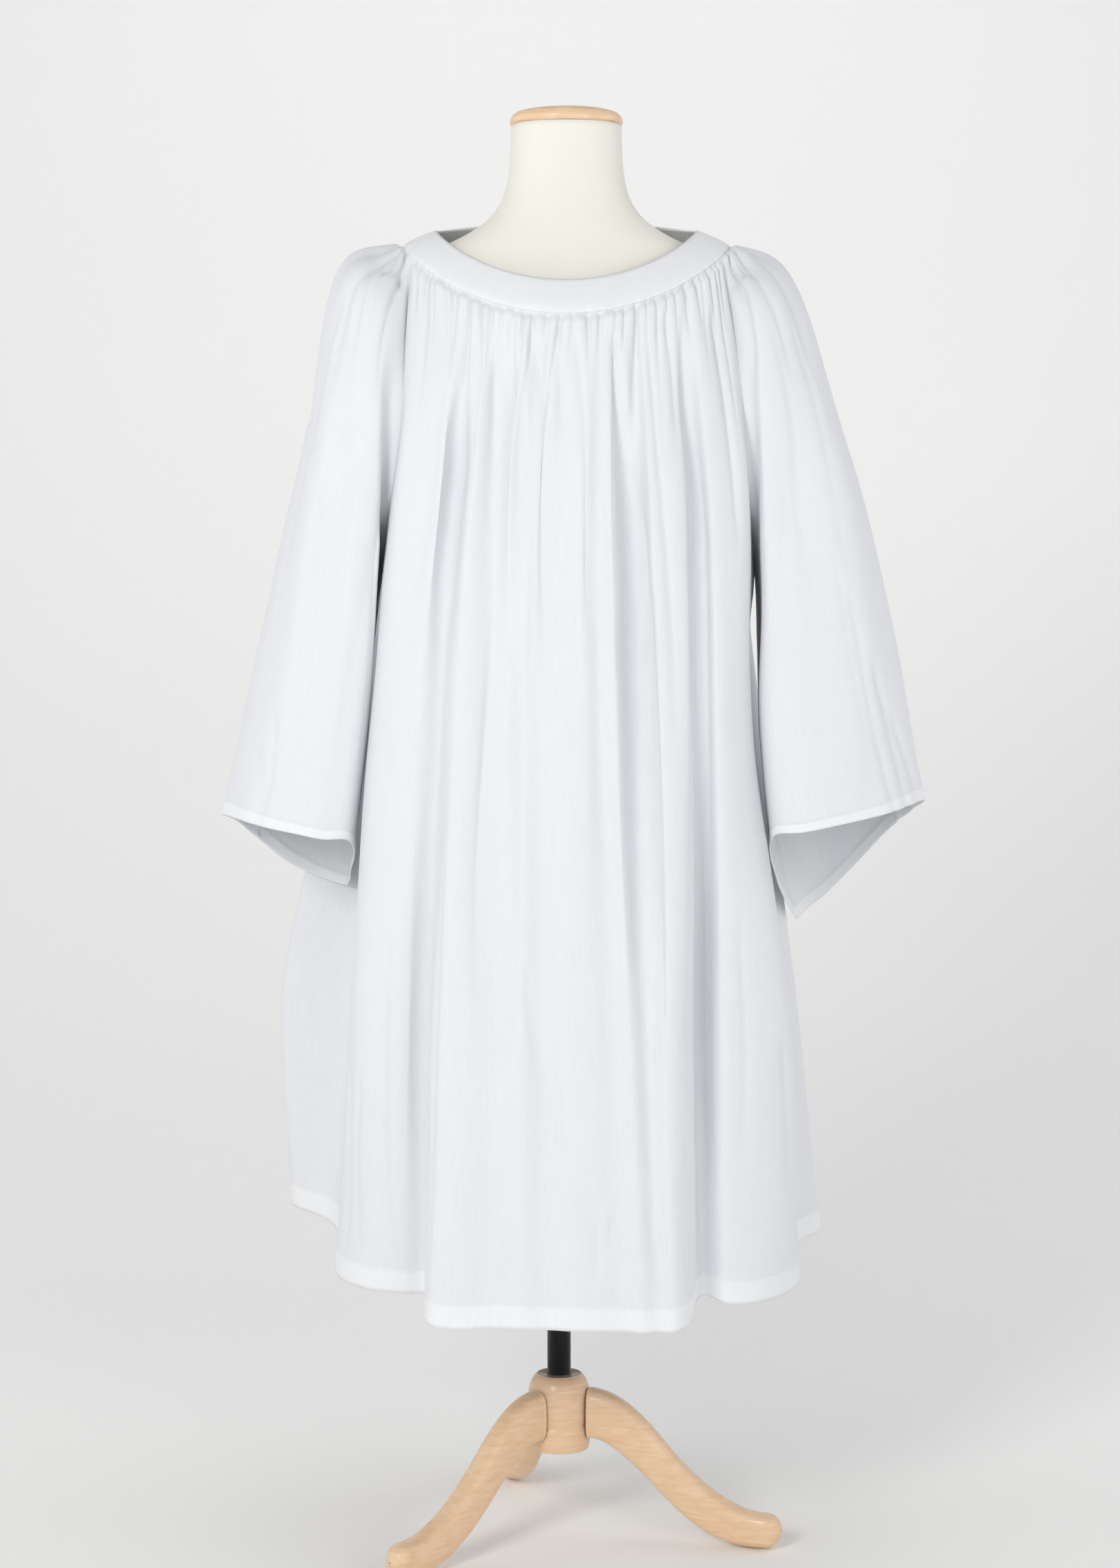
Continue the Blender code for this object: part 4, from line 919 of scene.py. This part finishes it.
def sewing_thread():
    """White core-spun polyester thread: a little brighter and glossier than the cloth."""
    made, tree, shader = new_material("white_core_spun_thread", 0.55, Sheen_Weight=0.2)
    place = add_node(tree, "ShaderNodeTexCoord").outputs["Object"]
    fuzz = add_node(tree, "ShaderNodeTexNoise", Vector=place, Scale=900.0, Detail=2.0)
    tone = add_node(tree, "ShaderNodeMix", {"data_type": "RGBA"}, i0=fuzz.outputs["Fac"],
                    i6=linear("#E6E7EB"), i7=linear("#F3F4F7"))
    tree.links.new(tone.outputs[2], shader.inputs["Base Color"])
    return made


white_thread = sewing_thread()
hem_row = len(at_all) - ROWS_HEM  # the first row of full thickness
hem_line, yoke_lines = ((hem_row, 0.3),), ((0, 0.5), (9, 0.8))  # a row, and how far on towards the next one
for name, i, lines in (("yoke_stitches", 0, yoke_lines), ("front_stitches", 1, hem_line),
                       ("back_stitches", 2, hem_line), ("left_sleeve_stitches", 3, hem_line),
                       ("right_sleeve_stitches", 4, hem_line)):
    outside = grids[i] + to_face(own[i], shared[i], YOKE_CLOTH if i == 0 else HEM_CLOTH)
    points, faces = beads([
        stitch_row(outside[:, row] * (1 - part) + outside[:, row + 1] * part, own[i][:, row])
        for row, part in lines
    ])
    stitches = new_object(name, points, faces.tolist())
    stitches.data.materials.append(white_thread)
    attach(stitches, "root")


# ---- Floor, light and camera ---------------------------------------------------------------------
# A pale studio sweep, a large soft key from the front left, a fill from the right, and an even surround.
SWEEP_PROFILE = (  # depth and height, m
    (-6.0, 0.0), (-2.0, 0.0), (0.6, 0.0), (1.5, 0.05), (2.3, 0.28), (2.9, 0.85), (3.15, 1.7), (3.2, 2.8),
    (3.2, 5.0),
)
SWEEP_HALF, SWEEP_STEPS, SWEEP_COLUMNS = 6.0, 120, 9
LENS_MM, LENS_SHIFT, EYE, TILT_DEG = 71.2, -0.004, (0.0, -3.4, 1.05), -3.7


def paper():
    """Matt grey-white background paper, with a faint unevenness a hand's breadth across."""
    made, tree, shader = new_material("background_paper", 0.95)
    place = add_node(tree, "ShaderNodeTexCoord").outputs["Object"]
    cloud = add_node(tree, "ShaderNodeTexNoise", Vector=place, Scale=1.5, Detail=2.0)
    tone = add_node(tree, "ShaderNodeMix", {"data_type": "RGBA"}, i0=cloud.outputs["Fac"],
                    i6=linear("#FAFAF9"), i7=linear("#FCFCFB"))
    tree.links.new(tone.outputs[2], shader.inputs["Base Color"])
    # From behind the paper is clear, so that the back of the garment can be looked at too.
    behind = add_node(tree, "ShaderNodeNewGeometry").outputs["Backfacing"]
    clear = add_node(tree, "ShaderNodeBsdfTransparent").outputs[0]
    seen = add_node(tree, "ShaderNodeMixShader", i0=behind, i1=shader.outputs[0], i2=clear)
    tree.links.new(seen.outputs[0], tree.nodes["Material Output"].inputs["Surface"])
    return made


stops = np.arange(len(SWEEP_PROFILE))
sweep_line = smooth_line(stops, SWEEP_PROFILE, np.linspace(0, stops[-1], SWEEP_STEPS))
sweep_x = np.linspace(-SWEEP_HALF, SWEEP_HALF, SWEEP_COLUMNS)[:, None]
sweep = np.stack(np.broadcast_arrays(sweep_x, sweep_line[None, :, 0], sweep_line[None, :, 1]), axis=-1)
floor = grid_mesh("studio_sweep", sweep)
floor.data.materials.append(paper())


def softbox(name, place, aim, size, power, colour="#FFFFFF", spread=180):
    """A square area light at place that looks at aim, and whose beam is spread degrees wide."""
    lamp = bpy.data.lights.new(name, "AREA")
    lamp.size, lamp.energy = size, power
    lamp.color, lamp.spread = linear(colour), math.radians(spread)
    obj = bpy.data.objects.new(name, lamp)
    obj.location = place
    obj.rotation_euler = (Vector(aim) - Vector(place)).to_track_quat("-Z", "Y").to_euler()
    bpy.context.scene.collection.objects.link(obj)


softbox("key", (-1.45, -3.0, 2.0), (0, 0, 0.95), 1.0, 45.0, "#FFFDF8")
softbox("fill", (1.8, -3.0, 1.3), (0, 0, 0.8), 1.8, 18.0, "#FFFDF8")
softbox("left_side", (-2.6, 0.3, 1.7), (0, 0.5, 0.5), 1.6, 9.5, "#FFFDFA")
softbox("right_side", (2.6, 0.3, 1.7), (0, 0.5, 0.5), 1.6, 12.5, "#FFFDFA")
softbox("backdrop", (0.0, 1.5, 3.5), (0, 3.1, 1.1), 2.4, 3.4, "#FFFFFF", 110)
world = bpy.data.worlds.new("studio")
world.use_nodes = True
# The surround is dimmer overhead, so that what faces up is no brighter than what faces the camera.
surround = world.node_tree.nodes["Background"]
surround.inputs[0].default_value = (*linear("#F4F5F8"), 1)
looking = add_node(world.node_tree, "ShaderNodeNewGeometry").outputs["Incoming"]
height = add_node(world.node_tree, "ShaderNodeSeparateXYZ", Vector=looking).outputs["Z"]
dimmed = add_node(world.node_tree, "ShaderNodeMapRange", Value=height, i1=-0.8, i2=0.1, i3=0.42, i4=0.86)
world.node_tree.links.new(dimmed.outputs[0], surround.inputs[1])
bpy.context.scene.world = world
bpy.context.scene.view_settings.view_transform = "Standard"

lens = bpy.data.cameras.new("camera")
lens.sensor_fit, lens.sensor_height, lens.lens = "VERTICAL", 36.0, LENS_MM
lens.shift_x = LENS_SHIFT
camera = bpy.data.objects.new("camera", lens)
camera.location = EYE
camera.rotation_euler = (math.radians(90 + TILT_DEG), 0, 0)
bpy.context.scene.collection.objects.link(camera)
bpy.context.scene.camera = camera
